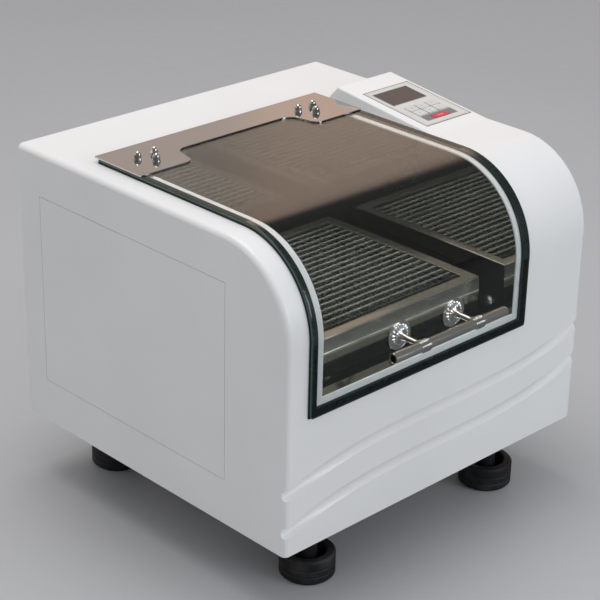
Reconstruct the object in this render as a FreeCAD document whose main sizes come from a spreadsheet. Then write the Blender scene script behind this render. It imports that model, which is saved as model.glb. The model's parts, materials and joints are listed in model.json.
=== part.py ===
import FreeCAD, Part
import math
import os
import re

import Sketcher

# An incubated benchtop shaker: a white casing with a hinged bent-glass lid over a
# steel chamber, where a spring-topped platform is carried round a small circle.
# Every place below is measured in the casing's own corner frame: X from the casing's
# middle to the right, Y from its front face to the rear, Z up from its bottom edge.
# The finished pieces are then moved so that the feet stand on Z = 0 and the middle of
# the whole outline lies over the origin.

SIZES = {
    # Casing shell
    "casing_width": 600.0,
    "casing_depth": 562.0,
    "casing_height": 428.0,
    "front_radius": 125.0,
    "edge_radius": 8.0,
    "casing_wall": 2.0,
    "stand_height": 100.0,
    "rear_inset": 4.0,
    "skirt_thickness": 12.0,
    "skirt_drop": 2.0,
    "base_thickness": 2.0,
    # The two shallow waves pressed across the front
    "upper_wave_level": 125.0,
    "upper_wave_rise": 33.0,
    "lower_wave_level": 69.0,
    "lower_wave_rise": 35.0,
    "wave_width": 18.0,
    "wave_middle_depth": 1.6,
    "wave_edge_depth": 9.0,
    # Flush service panels in both sides
    "service_front": 120.0,
    "service_rear_margin": 46.0,
    "service_bottom": 68.0,
    "service_top_margin": 67.0,
    "service_seam": 0.8,
    "service_lip": 9.0,
    "service_lip_thickness": 1.5,
    # Lid
    "lid_shift": 50.0,
    "lid_width": 428.0,
    "lid_lift": 8.0,
    "lid_setback": 138.0,
    "glass_thickness": 4.0,
    "glass_gap": 2.7,
    "glass_corner": 5.0,
    "gasket_width": 11.5,
    "gasket_clearance": 0.3,
    "rim_width": 12.1,
    "opening_setback": 30.8,
    # Hinges under the cover plate
    "hinge_axis_setback": 6.0,
    "hinge_axis_height": 3.3,
    "hinge_knuckle_radius": 3.2,
    "hinge_pin_radius": 1.5,
    "hinge_pin_clearance": 0.05,
    "hinge_leaf_thickness": 1.2,
    "hinge_leaf_width": 66.0,
    "hinge_left_inset": 55.5,
    "hinge_right_inset": 63.5,
    "hinge_leaf_reach": 78.0,
    "body_leaf_reach": 36.0,
    "knuckle_length": 22.0,
    "knuckle_gap": 0.3,
    "plate_thickness": 1.8,
    "plate_overhang": 3.0,
    "plate_wide_depth": 98.0,
    "plate_narrow_depth": 50.0,
    "plate_wide_width": 94.0,
    "plate_slant": 10.0,
    "plate_outer_round": 14.0,
    "plate_inner_round": 20.0,
    "plate_corner": 2.0,
    # Acorn nuts and their bolts
    "bolt_radius": 3.0,
    "bolt_head_radius": 4.8,
    "bolt_head_height": 2.4,
    "nut_washer_radius": 6.6,
    "nut_washer_thickness": 1.0,
    "nut_hex_radius": 6.0,
    "nut_hex_height": 4.6,
    "nut_dome_radius": 4.9,
    "nut_pair_spread": 14.8,
    "nut_rear_setback": 36.2,
    "nut_front_setback": 58.7,
    # Handle
    "handle_reach": 44.5,
    "handle_height_share": 0.68,
    "handle_spread": 107.0,
    "bar_diameter": 15.0,
    "bar_bore": 11.0,
    "bar_length": 224.0,
    "bar_bore_depth": 30.0,
    "bar_round": 5.0,
    "collar_diameter": 18.0,
    "collar_length": 16.0,
    "rosette_radius": 21.0,
    "rosette_edge": 2.0,
    "rosette_dome": 5.0,
    "post_root_radius": 6.5,
    "post_tip_radius": 4.5,
    "handle_washer_radius": 9.0,
    "handle_washer_thickness": 1.5,
    "handle_bolt_radius": 4.0,
    # Control housing
    "housing_gap": 13.0,
    "housing_inset": 4.0,
    "housing_setback": 143.0,
    "housing_length": 223.0,
    "housing_rear_run": 22.0,
    "housing_rise": 23.5,
    "housing_round": 3.0,
    "housing_wall": 3.0,
    "housing_hollow_length": 74.0,
    # Keypad on the sloping top
    "panel_margin": 14.5,
    "panel_setback": 27.5,
    "panel_width": 98.0,
    "panel_length": 135.0,
    "panel_thickness": 1.0,
    "panel_seam": 0.6,
    "display_inset": 11.0,
    "display_setback": 79.8,
    "display_width": 70.5,
    "display_length": 42.3,
    "display_sink": 0.2,
    "key_width": 20.0,
    "key_length": 14.6,
    "key_pitch": 21.8,
    "key_row_pitch": 16.8,
    "key_inset": 17.4,
    "key_setback": 33.0,
    "key_proud": 0.6,
    "key_depth": 1.6,
    "key_clearance": 0.35,
    "key_well": 0.7,
    "key_round": 1.5,
    "start_key_width": 31.0,
    "start_key_length": 10.6,
    "start_key_inset": 34.2,
    "start_key_setback": 14.2,
    "board_thickness": 1.6,
    "board_width": 90.0,
    "board_length": 150.0,
    "board_drop": 16.0,
    "board_post_radius": 3.0,
    "board_post_inset": 8.0,
    # Chamber liner
    "liner_sheet": 1.5,
    "liner_front": 20.0,
    "floor_gap": 30.0,
    "liner_overlap": 2.6,
    "liner_ledge": 1.5,
    "liner_post_radius": 15.0,
    "liner_post_inset_x": 28.0,
    "liner_post_inset_y": 58.0,
    "grille_depth": 52.0,
    "grille_margin": 10.0,
    "grille_setback": 3.0,
    "grille_thickness": 1.0,
    "grille_land": 4.0,
    "grille_hole_radius": 3.2,
    "grille_pitch": 16.0,
    # Air circulation behind the chamber
    "duct_width": 190.0,
    "duct_depth": 62.0,
    "duct_height": 130.0,
    "duct_lift": 15.0,
    "fan_radius": 44.0,
    "fan_hub_radius": 12.0,
    "fan_depth": 24.0,
    "fan_blade_thickness": 2.0,
    "fan_back_thickness": 1.5,
    "fan_setback": 12.0,
    "fan_shaft_radius": 4.0,
    "shaft_clearance": 0.05,
    "shaft_hole_clearance": 1.0,
    "fan_motor_radius": 30.0,
    "fan_motor_length": 46.0,
    "fan_shaft_engagement": 25.0,
    "heater_ring_radius": 54.0,
    "heater_tube_radius": 3.5,
    "heater_leg_radius": 2.8,
    "heater_leg_spread": 24.0,
    "air_slot_length": 70.0,
    "air_slot_height": 6.0,
    "air_slot_pitch": 13.0,
    "probe_radius": 3.0,
    "probe_length": 42.0,
    "probe_gland_radius": 8.0,
    "probe_gland_length": 6.0,
    "probe_inset": 22.0,
    "probe_lift": 128.0,
    # Shaking platform
    "rack_side_clearance": 18.0,
    "rack_end_clearance": 24.8,
    "rack_skirt": 22.0,
    "rack_rim": 17.5,
    "rack_sheet": 1.5,
    "rack_lip": 15.0,
    "spring_diameter": 4.4,
    "spring_gap": 0.1,
    "spring_sink": 2.3,
    "cross_spring_pitch": 14.0,
    "long_spring_pitch": 14.35,
    "tray_skirt": 35.0,
    "tray_sheet": 2.0,
    # Orbital drive
    "orbit_radius": 10.0,
    "shaft_radius": 10.0,
    "shaft_bottom": 8.0,
    "web_radius": 27.0,
    "web_thickness": 10.0,
    "web_lift": 6.0,
    "crank_pin_radius": 7.5,
    "pin_top_gap": 10.0,
    "hub_gap": 14.0,
    "hub_radius": 25.0,
    "hub_length": 29.0,
    "hub_roof": 4.0,
    "carriage_bearing_radius": 17.5,
    "carriage_bearing_width": 11.0,
    "floor_hole_clearance": 8.0,
    "bearing_outer_radius": 21.0,
    "bearing_width": 12.0,
    "bearing_land": 4.0,
    "bearing_housing_radius": 32.0,
    "bearing_pulley_gap": 6.0,
    "bearing_flange_radius": 60.0,
    "bearing_flange_thickness": 10.0,
    "pulley_radius": 40.0,
    "pulley_width": 16.0,
    "pulley_motor_gap": 14.0,
    "pulley_flange": 3.0,
    "pulley_flange_thickness": 1.5,
    "motor_pulley_radius": 20.0,
    "belt_width": 12.0,
    "belt_thickness": 2.0,
    "belt_clearance": 0.3,
    "counterweight_radius": 62.0,
    "counterweight_thickness": 18.0,
    "counterweight_gap": 12.0,
    "counterweight_hub_radius": 20.0,
    "motor_offset_x": 265.0,
    "motor_offset_y": 60.0,
    "motor_radius": 45.0,
    "motor_height": 98.0,
    "motor_foot_radius": 52.0,
    "motor_foot_thickness": 6.0,
    "motor_shaft_radius": 6.0,
    "motor_bore_depth": 20.0,
    # Idler cranks that keep the platform square
    "idler_side_inset": 45.0,
    "idler_front_inset": 57.5,
    "idler_rear_inset": 42.5,
    "idler_block_radius": 20.0,
    "idler_block_height": 16.0,
    "idler_journal_radius": 6.0,
    "idler_web_radius": 17.0,
    "idler_web_thickness": 5.0,
    "idler_gap": 1.0,
    "idler_hub_radius": 14.0,
    "idler_hub_length": 26.0,
    # Feet
    "foot_inset_x": 110.0,
    "foot_inset_front": 68.0,
    "foot_inset_rear": 72.0,
    "foot_radius": 40.0,
    "foot_height": 39.0,
    "foot_bore": 27.0,
    "foot_floor": 10.0,
    "foot_post_radius": 14.0,
    "foot_pad_radius": 26.0,
    "foot_pad_thickness": 6.0,
    # Rear panel with the mains inlet and its switch
    "rear_thickness": 2.0,
    "vent_length": 90.0,
    "vent_height": 4.0,
    "vent_pitch": 12.0,
    "vent_bottom": 90.0,
    "vent_spread": 150.0,
    "inlet_inset": 70.0,
    "inlet_level": 60.0,
    "inlet_width": 34.0,
    "inlet_height": 58.0,
    "inlet_flange": 2.0,
    "inlet_body_margin": 3.0,
    "inlet_body_depth": 26.0,
    "socket_width": 24.0,
    "socket_height": 17.0,
    "socket_depth": 16.0,
    "socket_level": 17.0,
    "socket_pin_width": 4.0,
    "socket_pin_thickness": 2.0,
    "socket_pin_spread": 7.0,
    "socket_pin_length": 12.0,
    "socket_pin_lift": 4.0,
    "rocker_level": 43.0,
    "rocker_width": 20.0,
    "rocker_height": 13.0,
    "rocker_depth": 9.0,
    "rocker_side_clearance": 0.3,
    "rocker_end_clearance": 0.9,
    "rocker_tilt": 7.0,
    "rocker_proud": 1.2,
    "rear_screw_radius": 4.0,
    "rear_screw_head": 1.8,
    "rear_screw_shank": 2.0,
    "rear_screw_length": 8.0,
    "rear_screw_inset": 14.0,
    # One overrun for every cut
    "overrun": 5.0,
}

WAVE_STEPS = 8
KEY_COLUMNS = 3
KEY_ROWS = 2
FAN_BLADES = 8
AIR_SLOTS = 7
VENTS = 9

# How near two places are, in mm, that count as one
NEAR = 1e-3

doc = FreeCAD.newDocument("incubated_shaker")
sheet = doc.addObject("Spreadsheet::Sheet", "sizes")
for row, (alias, size) in enumerate(SIZES.items(), start=1):
    sheet.set(f"A{row}", alias)
    sheet.set(f"B{row}", str(size))
    sheet.setAlias(f"B{row}", alias)
doc.recompute()

pieces = []
names_used = {}


# Working with the sheet

def cell_name(word):
    """Write a word as its cell of the sheet where it is one of the sizes."""
    return f"sizes.{word[0]}" if word[0] in SIZES else word[0]


def bound(text):
    """Write each size in an expression as its cell of the sheet."""
    return re.sub(r"[a-z_][a-z_0-9]*", cell_name, str(text))


def number(text):
    """Work out the value of an expression from the sheet."""
    return float(sheet.evalExpression(bound(text)))


def fresh(name):
    """Give a helper object a name that no other one has."""
    names_used[name] = names_used.get(name, 0) + 1
    return f"{name}_{names_used[name]}"


# Shapes

def bind(thing, sides, places):
    """Bind an object's sizes and its place to expressions."""
    for side, text in sides.items():
        thing.setExpression(side, bound(text))
    for axis, text in zip("xyz", places):
        thing.setExpression(f"Placement.Base.{axis}", bound(text))
    return thing


def box(name, xs, ys, zs):
    """Make a block between two places along each axis."""
    block = doc.addObject("Part::Box", fresh(name))
    spans = zip(("Length", "Width", "Height"), (xs, ys, zs))
    sides = {side: f"({high}) - ({low})" for side, (low, high) in spans}
    return bind(block, sides, (xs[0], ys[0], zs[0]))


def block_about(name, middle, size, ys):
    """Make a block about a middle in X and Z, between two places along Y."""
    (x, z), (width, height) = middle, size
    return box(name, (f"({x}) - ({width}) / 2", f"({x}) + ({width}) / 2"), ys,
               (f"({z}) - ({height}) / 2", f"({z}) + ({height}) / 2"))


TURNS = {
    "z": FreeCAD.Rotation(),
    "y": FreeCAD.Rotation(FreeCAD.Vector(1, 0, 0), -90),
    "x": FreeCAD.Rotation(FreeCAD.Vector(0, 1, 0), 90),
}


def rod(name, radius, middle, low, high, axis="z", tip_radius=None):
    """Make a cylinder, or a cone with a tip radius, along an axis between two places."""
    kind = "Part::Cylinder" if tip_radius is None else "Part::Cone"
    shaft = doc.addObject(kind, fresh(name))
    shaft.Placement = FreeCAD.Placement(FreeCAD.Vector(), TURNS[axis])
    first, second = middle
    places = {"z": (first, second, low), "y": (first, low, second), "x": (low, first, second)}[axis]
    sides = {"Height": f"({high}) - ({low})"}
    if tip_radius is None:
        sides["Radius"] = radius
    else:
        sides["Radius1"] = radius
        sides["Radius2"] = tip_radius
    return bind(shaft, sides, places)


def fuse(name, shapes):
    """Join shapes that overlap into one."""
    joined = doc.addObject("Part::MultiFuse", fresh(name))
    joined.Shapes = shapes
    return joined


def wider(ends, clearance="overrun"):
    """Widen a pair of places by a clearance at both ends."""
    return (f"{ends[0]} - {clearance}", f"{ends[1]} + {clearance}")


def group(name, shapes):
    """Hold shapes that stay apart together."""
    held = doc.addObject("Part::Compound", fresh(name))
    held.Links = shapes
    return held


def cut(name, base, tools):
    """Cut one or more shapes out of another."""
    result = doc.addObject("Part::Cut", fresh(name))
    result.Base = base
    result.Tool = tools[0] if len(tools) == 1 else fuse(name + "_cutters", tools)
    return result


def common(name, first, second):
    """Keep what two shapes share."""
    result = doc.addObject("Part::MultiCommon", fresh(name))
    result.Shapes = [first, second]
    return result


def prism(name, plane, corners, low, high, rounds=()):
    """Pad a straight-sided outline in one of a body's planes, then round its corners.

    YZ_Plane takes (y, z) corners and pads along X; XY_Plane takes (x, y) and pads along Z.
    Each round is the corners' numbers and a radius.
    """
    body = doc.addObject("PartDesign::Body", fresh(name))
    sketch = body.newObject("Sketcher::SketchObject", fresh(name + "_outline"))
    plane_feature = next(feature for feature in body.Origin.OriginFeatures if feature.Role == plane)
    sketch.AttachmentSupport = [(plane_feature, "")]
    sketch.MapMode = "FlatFace"
    sketch.setExpression("AttachmentOffset.Base.z", bound(low))
    points = [FreeCAD.Vector(number(across), number(up), 0) for across, up in corners]
    count = len(points)
    for index, point in enumerate(points):
        sketch.addGeometry(Part.LineSegment(point, points[(index + 1) % count]), False)
    for index in range(count):
        sketch.addConstraint(Sketcher.Constraint("Coincident", index, 2, (index + 1) % count, 1))
    for index, ends in enumerate(corners):
        for kind, text, value in zip(("DistanceX", "DistanceY"), ends, points[index]):
            place = sketch.addConstraint(Sketcher.Constraint(kind, -1, 1, index, 1, value))
            sketch.setExpression(f"Constraints[{place}]", bound(text))
    pad = body.newObject("PartDesign::Pad", fresh(name + "_pad"))
    pad.Profile = sketch
    pad.setExpression("Length", bound(f"({high}) - ({low})"))
    doc.recompute()
    for numbers, radius in rounds:
        wanted = [points[index] for index in numbers]
        round_edges(body, radius, lambda edge: any(stands_on(edge, point, plane) for point in wanted))
    return body


def stands_on(edge, point, plane):
    """Say whether an edge runs square to a plane through one of its points."""
    first, second = {"YZ_Plane": (1, 2), "XY_Plane": (0, 1)}[plane]
    ends = [(vertex.Point[first], vertex.Point[second]) for vertex in edge.Vertexes]
    return len(ends) == 2 and all(math.dist(end, (point.x, point.y)) < NEAR for end in ends)


def round_edges(body, radius, chosen):
    """Round the edges of a body's tip that a test picks."""
    tip = body.Tip
    picked = [f"Edge{index}" for index, edge in enumerate(tip.Shape.Edges, start=1) if chosen(edge)]
    fillet = body.newObject("PartDesign::Fillet", fresh(body.Name + "_round"))
    fillet.Base = (tip, picked)
    fillet.setExpression("Radius", bound(radius))
    doc.recompute()
    return body


def bent_sheet(name, inner, outer, left, right, bottom, rear):
    """Make a sheet that follows the casing's front, bend and top between two offsets from its skin."""
    corners = [
        (f"-({outer})", bottom),
        (f"-({inner})", bottom),
        (f"-({inner})", f"casing_height + ({inner})"),
        (rear, f"casing_height + ({inner})"),
        (rear, f"casing_height + ({outer})"),
        (f"-({outer})", f"casing_height + ({outer})"),
    ]
    rounds = [((2,), f"front_radius + ({inner})"), ((5,), f"front_radius + ({outer})")]
    return prism(name, "YZ_Plane", corners, left, right, rounds)


# Finished pieces

FRONT = "(glass_gap + glass_thickness + handle_reach + collar_diameter / 2 - casing_depth) / 2"
SLOPE = "(housing_rise / (housing_length - housing_rear_run))"
SLOPE_ANGLE = f"atan({SLOPE})"


def piece(label, shapes, sloping=False):
    """Name a finished piece and stand it in the part's frame."""
    held = doc.addObject("Part::Compound", label)
    held.Label = label
    held.Links = shapes
    if sloping:
        held.Placement = FreeCAD.Placement(FreeCAD.Vector(), FreeCAD.Rotation(FreeCAD.Vector(1, 0, 0), 0))
        held.setExpression("Placement.Rotation.Angle", bound(SLOPE_ANGLE))
        bind(held, {}, ("0", f"{FRONT} + {HOUSING_FRONT}", "stand_height + casing_height"))
    else:
        bind(held, {}, ("0", FRONT, "stand_height"))
    pieces.append(held)
    return held


# Places shared between pieces

SIDE = "casing_width / 2"
MIDDLE = "-lid_shift"
LID_LEFT = f"{MIDDLE} - lid_width / 2"
LID_RIGHT = f"{MIDDLE} + lid_width / 2"
PROUD = "(glass_gap + glass_thickness)"
REAR_FACE = "(casing_depth - rear_inset)"

# Levels, from the pan upwards: motor, pulleys, counterweight, chamber floor, lid and rack
MOTOR_TOP = "(base_thickness + motor_height)"
PULLEY_LEVEL = f"({MOTOR_TOP} + pulley_motor_gap)"
BEARING_HOUSING_TOP = f"({PULLEY_LEVEL} - bearing_pulley_gap)"
COUNTERWEIGHT_LEVEL = f"({PULLEY_LEVEL} + pulley_width + counterweight_gap)"
LINER_FLOOR = f"({COUNTERWEIGHT_LEVEL} + counterweight_thickness + floor_gap)"
SKIRT_TOP = f"({LINER_FLOOR} - skirt_drop)"
LID_BOTTOM = f"({LINER_FLOOR} + lid_lift)"
OPENING_BOTTOM = f"({LID_BOTTOM} + gasket_width + rim_width)"
HANDLE_Z = f"({LID_BOTTOM} + (casing_height - front_radius - {LID_BOTTOM}) * handle_height_share)"
WEB_LOW = f"({LINER_FLOOR} + web_lift)"
WEB_TOP = f"({WEB_LOW} + web_thickness)"
TRAY_CEILING = f"({WEB_TOP} + hub_gap + hub_length)"
TRAY_TOP = f"({TRAY_CEILING} + tray_sheet)"
RACK_TOP = f"({TRAY_TOP} + rack_skirt)"
PIN_TOP = f"({TRAY_CEILING} - pin_top_gap)"
BEARING_TOP = f"({TRAY_CEILING} - hub_length + carriage_bearing_width + bearing_land)"

# The chamber and what moves in it
LID_REAR = "(casing_depth - lid_setback)"
OPENING_HALF = "(lid_width / 2 - gasket_width - rim_width)"
OPENING_REAR = f"({LID_REAR} - opening_setback)"
LINER_HALF = f"({OPENING_HALF} + liner_overlap)"
LINER_REAR = f"({OPENING_REAR} + liner_overlap)"
AXIS_Y = f"((liner_front + {LINER_REAR}) / 2)"
PIN_Y = f"({AXIS_Y} - orbit_radius)"
RACK_HALF_X = f"({LINER_HALF} - orbit_radius - rack_side_clearance)"
RACK_HALF_Y = f"(({LINER_REAR} - liner_front) / 2 - orbit_radius - rack_end_clearance)"
RACK_LEFT = f"{MIDDLE} - {RACK_HALF_X}"
RACK_RIGHT = f"{MIDDLE} + {RACK_HALF_X}"
RACK_FRONT = f"{PIN_Y} - {RACK_HALF_Y}"
RACK_REAR = f"{PIN_Y} + {RACK_HALF_Y}"
IDLERS = [
    (f"{MIDDLE} - ({RACK_HALF_X} - idler_side_inset)", f"-({RACK_HALF_Y} - idler_front_inset)"),
    (f"{MIDDLE} + ({RACK_HALF_X} - idler_side_inset)", f"-({RACK_HALF_Y} - idler_front_inset)"),
    (MIDDLE, f"({RACK_HALF_Y} - idler_rear_inset)"),
]
MOTOR = (f"{MIDDLE} + motor_offset_x", f"{AXIS_Y} + motor_offset_y")

# Behind the chamber
DUCT_BOTTOM = f"({LINER_FLOOR} + duct_lift)"
FAN_Z = f"({DUCT_BOTTOM} + duct_height / 2)"
DUCT_FRONT = f"({LINER_REAR} + liner_sheet)"
DUCT_BACK = f"({DUCT_FRONT} + duct_depth)"
FAN_FRONT = f"({DUCT_FRONT} + fan_setback)"
HEATER_LEG_Z = f"({FAN_Z} + sqrt(heater_ring_radius ^ 2 - (heater_leg_spread / 2) ^ 2))"
PROBE_X = f"({MIDDLE} + {LINER_HALF} - probe_inset)"
PROBE_Z = f"({LINER_FLOOR} + probe_lift)"

# Hinges, handle, housing, service panels, feet and inlet
HINGE_Y = f"({LID_REAR} + hinge_axis_setback)"
HINGE_Z = "(casing_height + hinge_axis_height)"
HINGE_XS = (f"{LID_LEFT} + hinge_left_inset", f"{LID_RIGHT} - hinge_right_inset")
PLATE_REAR = f"({HINGE_Y} + plate_overhang)"
HANDLE_XS = (f"{MIDDLE} - handle_spread / 2", f"{MIDDLE} + handle_spread / 2")
BAR_Y = f"(-{PROUD} - handle_reach)"
HOUSING_LEFT = f"({LID_RIGHT} + housing_gap)"
HOUSING_RIGHT = f"({SIDE} - housing_inset)"
HOUSING_REAR = "(casing_depth - housing_setback)"
HOUSING_FRONT = f"({HOUSING_REAR} - housing_length)"
HOUSING_CREST = f"({HOUSING_REAR} - housing_rear_run)"
SERVICE_YS = ("service_front", "casing_depth - service_rear_margin")
SERVICE_ZS = ("service_bottom", "casing_height - service_top_margin")
FEET = [(f"{side}({SIDE} - foot_inset_x)", y) for side in ("-", "") for y in
        ("foot_inset_front", "casing_depth - foot_inset_rear")]
INLET_X = f"({SIDE} - inlet_inset)"
INLET_BODY = ("inlet_width - 2 * inlet_body_margin", "inlet_height - 2 * inlet_body_margin")
SOCKET_Z = "(inlet_level - inlet_height / 2 + socket_level)"
ROCKER_Z = "(inlet_level - inlet_height / 2 + rocker_level)"
ROCKER_Y = f"({REAR_FACE} + inlet_flange - rocker_depth / 2)"


# Casing

def side_outline(edge, half):
    """Say whether an edge outlines a side face, apart from its bottom and its rear."""
    outline = edge.BoundBox
    in_side = outline.XLength < NEAR and abs(abs(outline.XMin) - half) < NEAR
    along_bottom = outline.ZLength < NEAR and outline.ZMax < number("casing_height / 2")
    along_rear = outline.YLength < NEAR and outline.YMin > number("casing_depth / 2")
    return in_side and not along_bottom and not along_rear


def casing_block(name, wall, low, rear):
    """Make the casing's outer form, or the hollow in it."""
    top = f"casing_height - ({wall})"
    corners = [(wall, low), (rear, low), (rear, top), (wall, top)]
    half = f"({SIDE} - ({wall}))"
    body = prism(name, "YZ_Plane", corners, f"-{half}", half, [((3,), f"front_radius - ({wall})")])
    return round_edges(body, f"edge_radius - ({wall})", lambda edge: side_outline(edge, number(half)))


def wave_cutter(name, level, rise):
    """Make the cutter of one pressed wave: its level is a cubic in X, and it deepens towards the sides."""
    half = number(SIDE)
    outside = number("overrun")
    width = number("wave_width")
    shallow = number("wave_middle_depth")
    deep = number("wave_edge_depth")
    sections = []
    for step in range(-WAVE_STEPS, WAVE_STEPS + 1):
        share = step / WAVE_STEPS
        x = share * (half + outside)
        middle = number(level) + number(rise) * share ** 3
        depth = shallow + (deep - shallow) * share ** 4
        upper = FreeCAD.Vector(x, 0, middle + width / 2)
        bed = FreeCAD.Vector(x, depth, middle)
        lower = FreeCAD.Vector(x, 0, middle - width / 2)
        back = FreeCAD.Vector(0, -outside, 0)
        bow = Part.Arc(upper, bed, lower).toShape()
        rest = Part.makePolygon([lower, lower + back, upper + back, upper])
        sections.append(Part.Wire([bow] + rest.Edges))
    cutter = doc.addObject("Part::Feature", fresh(name))
    cutter.Shape = Part.makeLoft(sections, True, False)
    return cutter


def casing_shell():
    """The seamless white shell: front, bend, top and both sides, open below and behind."""
    outer = casing_block("casing_outer", "0", "0", "casing_depth")
    hollow = casing_block("casing_hollow", "casing_wall", "-overrun", "casing_depth + overrun")
    inner = f"({SIDE} - casing_wall)"
    skirt = box("casing_skirt", (f"-{inner}", inner), ("casing_wall", "skirt_thickness"),
                ("base_thickness", SKIRT_TOP))
    shell = fuse("casing_walls", [cut("casing_sheet", outer, [hollow]), skirt])
    opening = bent_sheet("lid_opening", "-casing_wall - overrun", "overrun", f"{MIDDLE} - {OPENING_HALF}",
                         f"{MIDDLE} + {OPENING_HALF}", OPENING_BOTTOM, OPENING_REAR)
    cutters = [opening]
    for side in ("-", ""):
        near, far = f"{side}({SIDE} + overrun)", f"{side}({SIDE} - casing_wall - overrun)"
        xs = (near, far) if side else (far, near)
        cutters.append(box("service_opening", xs, SERVICE_YS, SERVICE_ZS))
    cutters.append(wave_cutter("upper_wave", "upper_wave_level", "upper_wave_rise"))
    cutters.append(wave_cutter("lower_wave", "lower_wave_level", "lower_wave_rise"))
    piece("casing_shell", [cut("casing_open", shell, cutters)])


def service_panel(label, side):
    """A flush panel in one side, held by a lip that bears on the inside of the wall."""
    wall = f"({SIDE} - casing_wall)"
    lip = f"({wall} - service_lip_thickness)"
    outer_xs = (f"-{SIDE}", f"-{wall}") if side < 0 else (wall, SIDE)
    lip_xs = (f"-{wall}", f"-{lip}") if side < 0 else (lip, wall)
    seam = "(-service_seam)"
    face = box("service_face", outer_xs, wider(SERVICE_YS, seam), wider(SERVICE_ZS, seam))
    backing = box("service_backing", lip_xs, wider(SERVICE_YS, "service_lip"), wider(SERVICE_ZS, "service_lip"))
    piece(label, [fuse("service_whole", [face, backing])])


def base_pan():
    """The steel pan that closes the bottom and carries the drive."""
    half = f"({SIDE} - casing_wall)"
    rear = f"({REAR_FACE} - rear_thickness)"
    corners = [(f"-{half}", "casing_wall"), (half, "casing_wall"), (half, rear), (f"-{half}", rear)]
    pan = prism("base_sheet", "XY_Plane", corners, "0", "base_thickness", [((0, 1), "edge_radius")])
    piece("base_pan", [pan])


def feet():
    """Four rubber cups on round posts under the pan."""
    posts = []
    cups = []
    seat = "foot_floor - stand_height"
    rim = "foot_height - stand_height"
    for place in FEET:
        pad = rod("foot_pad", "foot_pad_radius", place, seat, f"{seat} + foot_pad_thickness")
        stem = rod("foot_stem", "foot_post_radius", place, seat, "0")
        posts.append(fuse("foot_post", [pad, stem]))
        cup = rod("foot_cup", "foot_radius", place, "-stand_height", rim)
        bore = rod("foot_bore", "foot_bore", place, seat, f"{rim} + overrun")
        cups.append(cut("foot_ring", cup, [bore]))
    piece("foot_posts", posts)
    piece("foot_cups", cups)


# Rear panel and mains inlet

def rear_screw_places():
    """The screws stand in two columns of three."""
    levels = ("rear_screw_inset", "casing_height / 2", "casing_height - rear_screw_inset")
    columns = (f"-({SIDE} - rear_screw_inset)", f"({SIDE} - rear_screw_inset)")
    return [(x, z) for x in columns for z in levels]


def rear_panel():
    """The rear panel with its air vents, the inlet's cut-out and the screw holes."""
    ys = (f"{REAR_FACE} - rear_thickness", REAR_FACE)
    through = wider(ys)
    tools = [block_about("inlet_window", (INLET_X, "inlet_level"), INLET_BODY, through)]
    for side in ("-", ""):
        for step in range(VENTS):
            middle = (f"{side}vent_spread", f"vent_bottom + {step} * vent_pitch")
            tools.append(block_about("vent", middle, ("vent_length", "vent_height"), through))
    for place in rear_screw_places():
        tools.append(rod("rear_screw_hole", "rear_screw_shank", place, *through, axis="y"))
    piece("rear_panel", [cut("rear_cut", rear_sheet(ys), [group("rear_cutters", tools)])])


def rear_sheet(ys):
    """A slab with the rounded upper corners of the casing's hollow."""
    corner = "(edge_radius - casing_wall)"
    half = f"({SIDE} - casing_wall)"
    top = "(casing_height - casing_wall)"
    low = box("slice_low", (f"-{half}", half), ys, ("0", f"{top} - {corner}"))
    narrow = box("slice_high", (f"-({half} - {corner})", f"({half} - {corner})"), ys, ("0", top))
    ends = [rod("slice_corner", corner, (f"{side}({half} - {corner})", f"{top} - {corner}"), *ys, axis="y")
            for side in ("-", "")]
    return fuse("slice", [low, narrow] + ends)


def rear_screws():
    """Six pan-head screws in the rear panel."""
    screws = []
    for place in rear_screw_places():
        head = rod("rear_screw_head", "rear_screw_radius", place, REAR_FACE, f"{REAR_FACE} + rear_screw_head",
                   axis="y", tip_radius="rear_screw_radius - rear_screw_head / 2")
        shank = rod("rear_screw_shank", "rear_screw_shank", place, f"{REAR_FACE} - rear_screw_length",
                    REAR_FACE, axis="y")
        screws.append(fuse("rear_screw", [head, shank]))
    piece("rear_screws", screws)


def power_inlet():
    """The mains socket with the switch's well above it, in one moulding."""
    middle = (INLET_X, "inlet_level")
    front = f"({REAR_FACE} + inlet_flange)"
    flange = block_about("inlet_flange", middle, ("inlet_width", "inlet_height"), (REAR_FACE, front))
    body = block_about("inlet_body", middle, INLET_BODY, (f"{REAR_FACE} - inlet_body_depth", REAR_FACE))
    socket = block_about("inlet_socket", (INLET_X, SOCKET_Z), ("socket_width", "socket_height"),
                         (f"{front} - socket_depth", f"{front} + overrun"))
    well_size = ("rocker_width + 2 * rocker_side_clearance", "rocker_height + 2 * rocker_end_clearance")
    well = block_about("rocker_well", (INLET_X, ROCKER_Z), well_size,
                       (f"{front} - rocker_depth - 2 * rocker_end_clearance", f"{front} + overrun"))
    block = fuse("inlet_block", [flange, body])
    hollow = cut("inlet_hollow", block, [group("inlet_cutters", [socket, well])])
    pins = []
    for side, lift in (("-", "0"), ("", "0"), (None, "socket_pin_lift")):
        x = INLET_X if side is None else f"{INLET_X} + {side}socket_pin_spread"
        size = ("socket_pin_thickness", "socket_pin_width")
        root = f"{front} - socket_depth - inlet_flange"
        pins.append(block_about("socket_pin", (x, f"{SOCKET_Z} + {lift}"), size,
                                (root, f"{front} - socket_depth + socket_pin_length")))
    piece("power_inlet", [fuse("inlet_whole", [hollow] + pins)])


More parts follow.
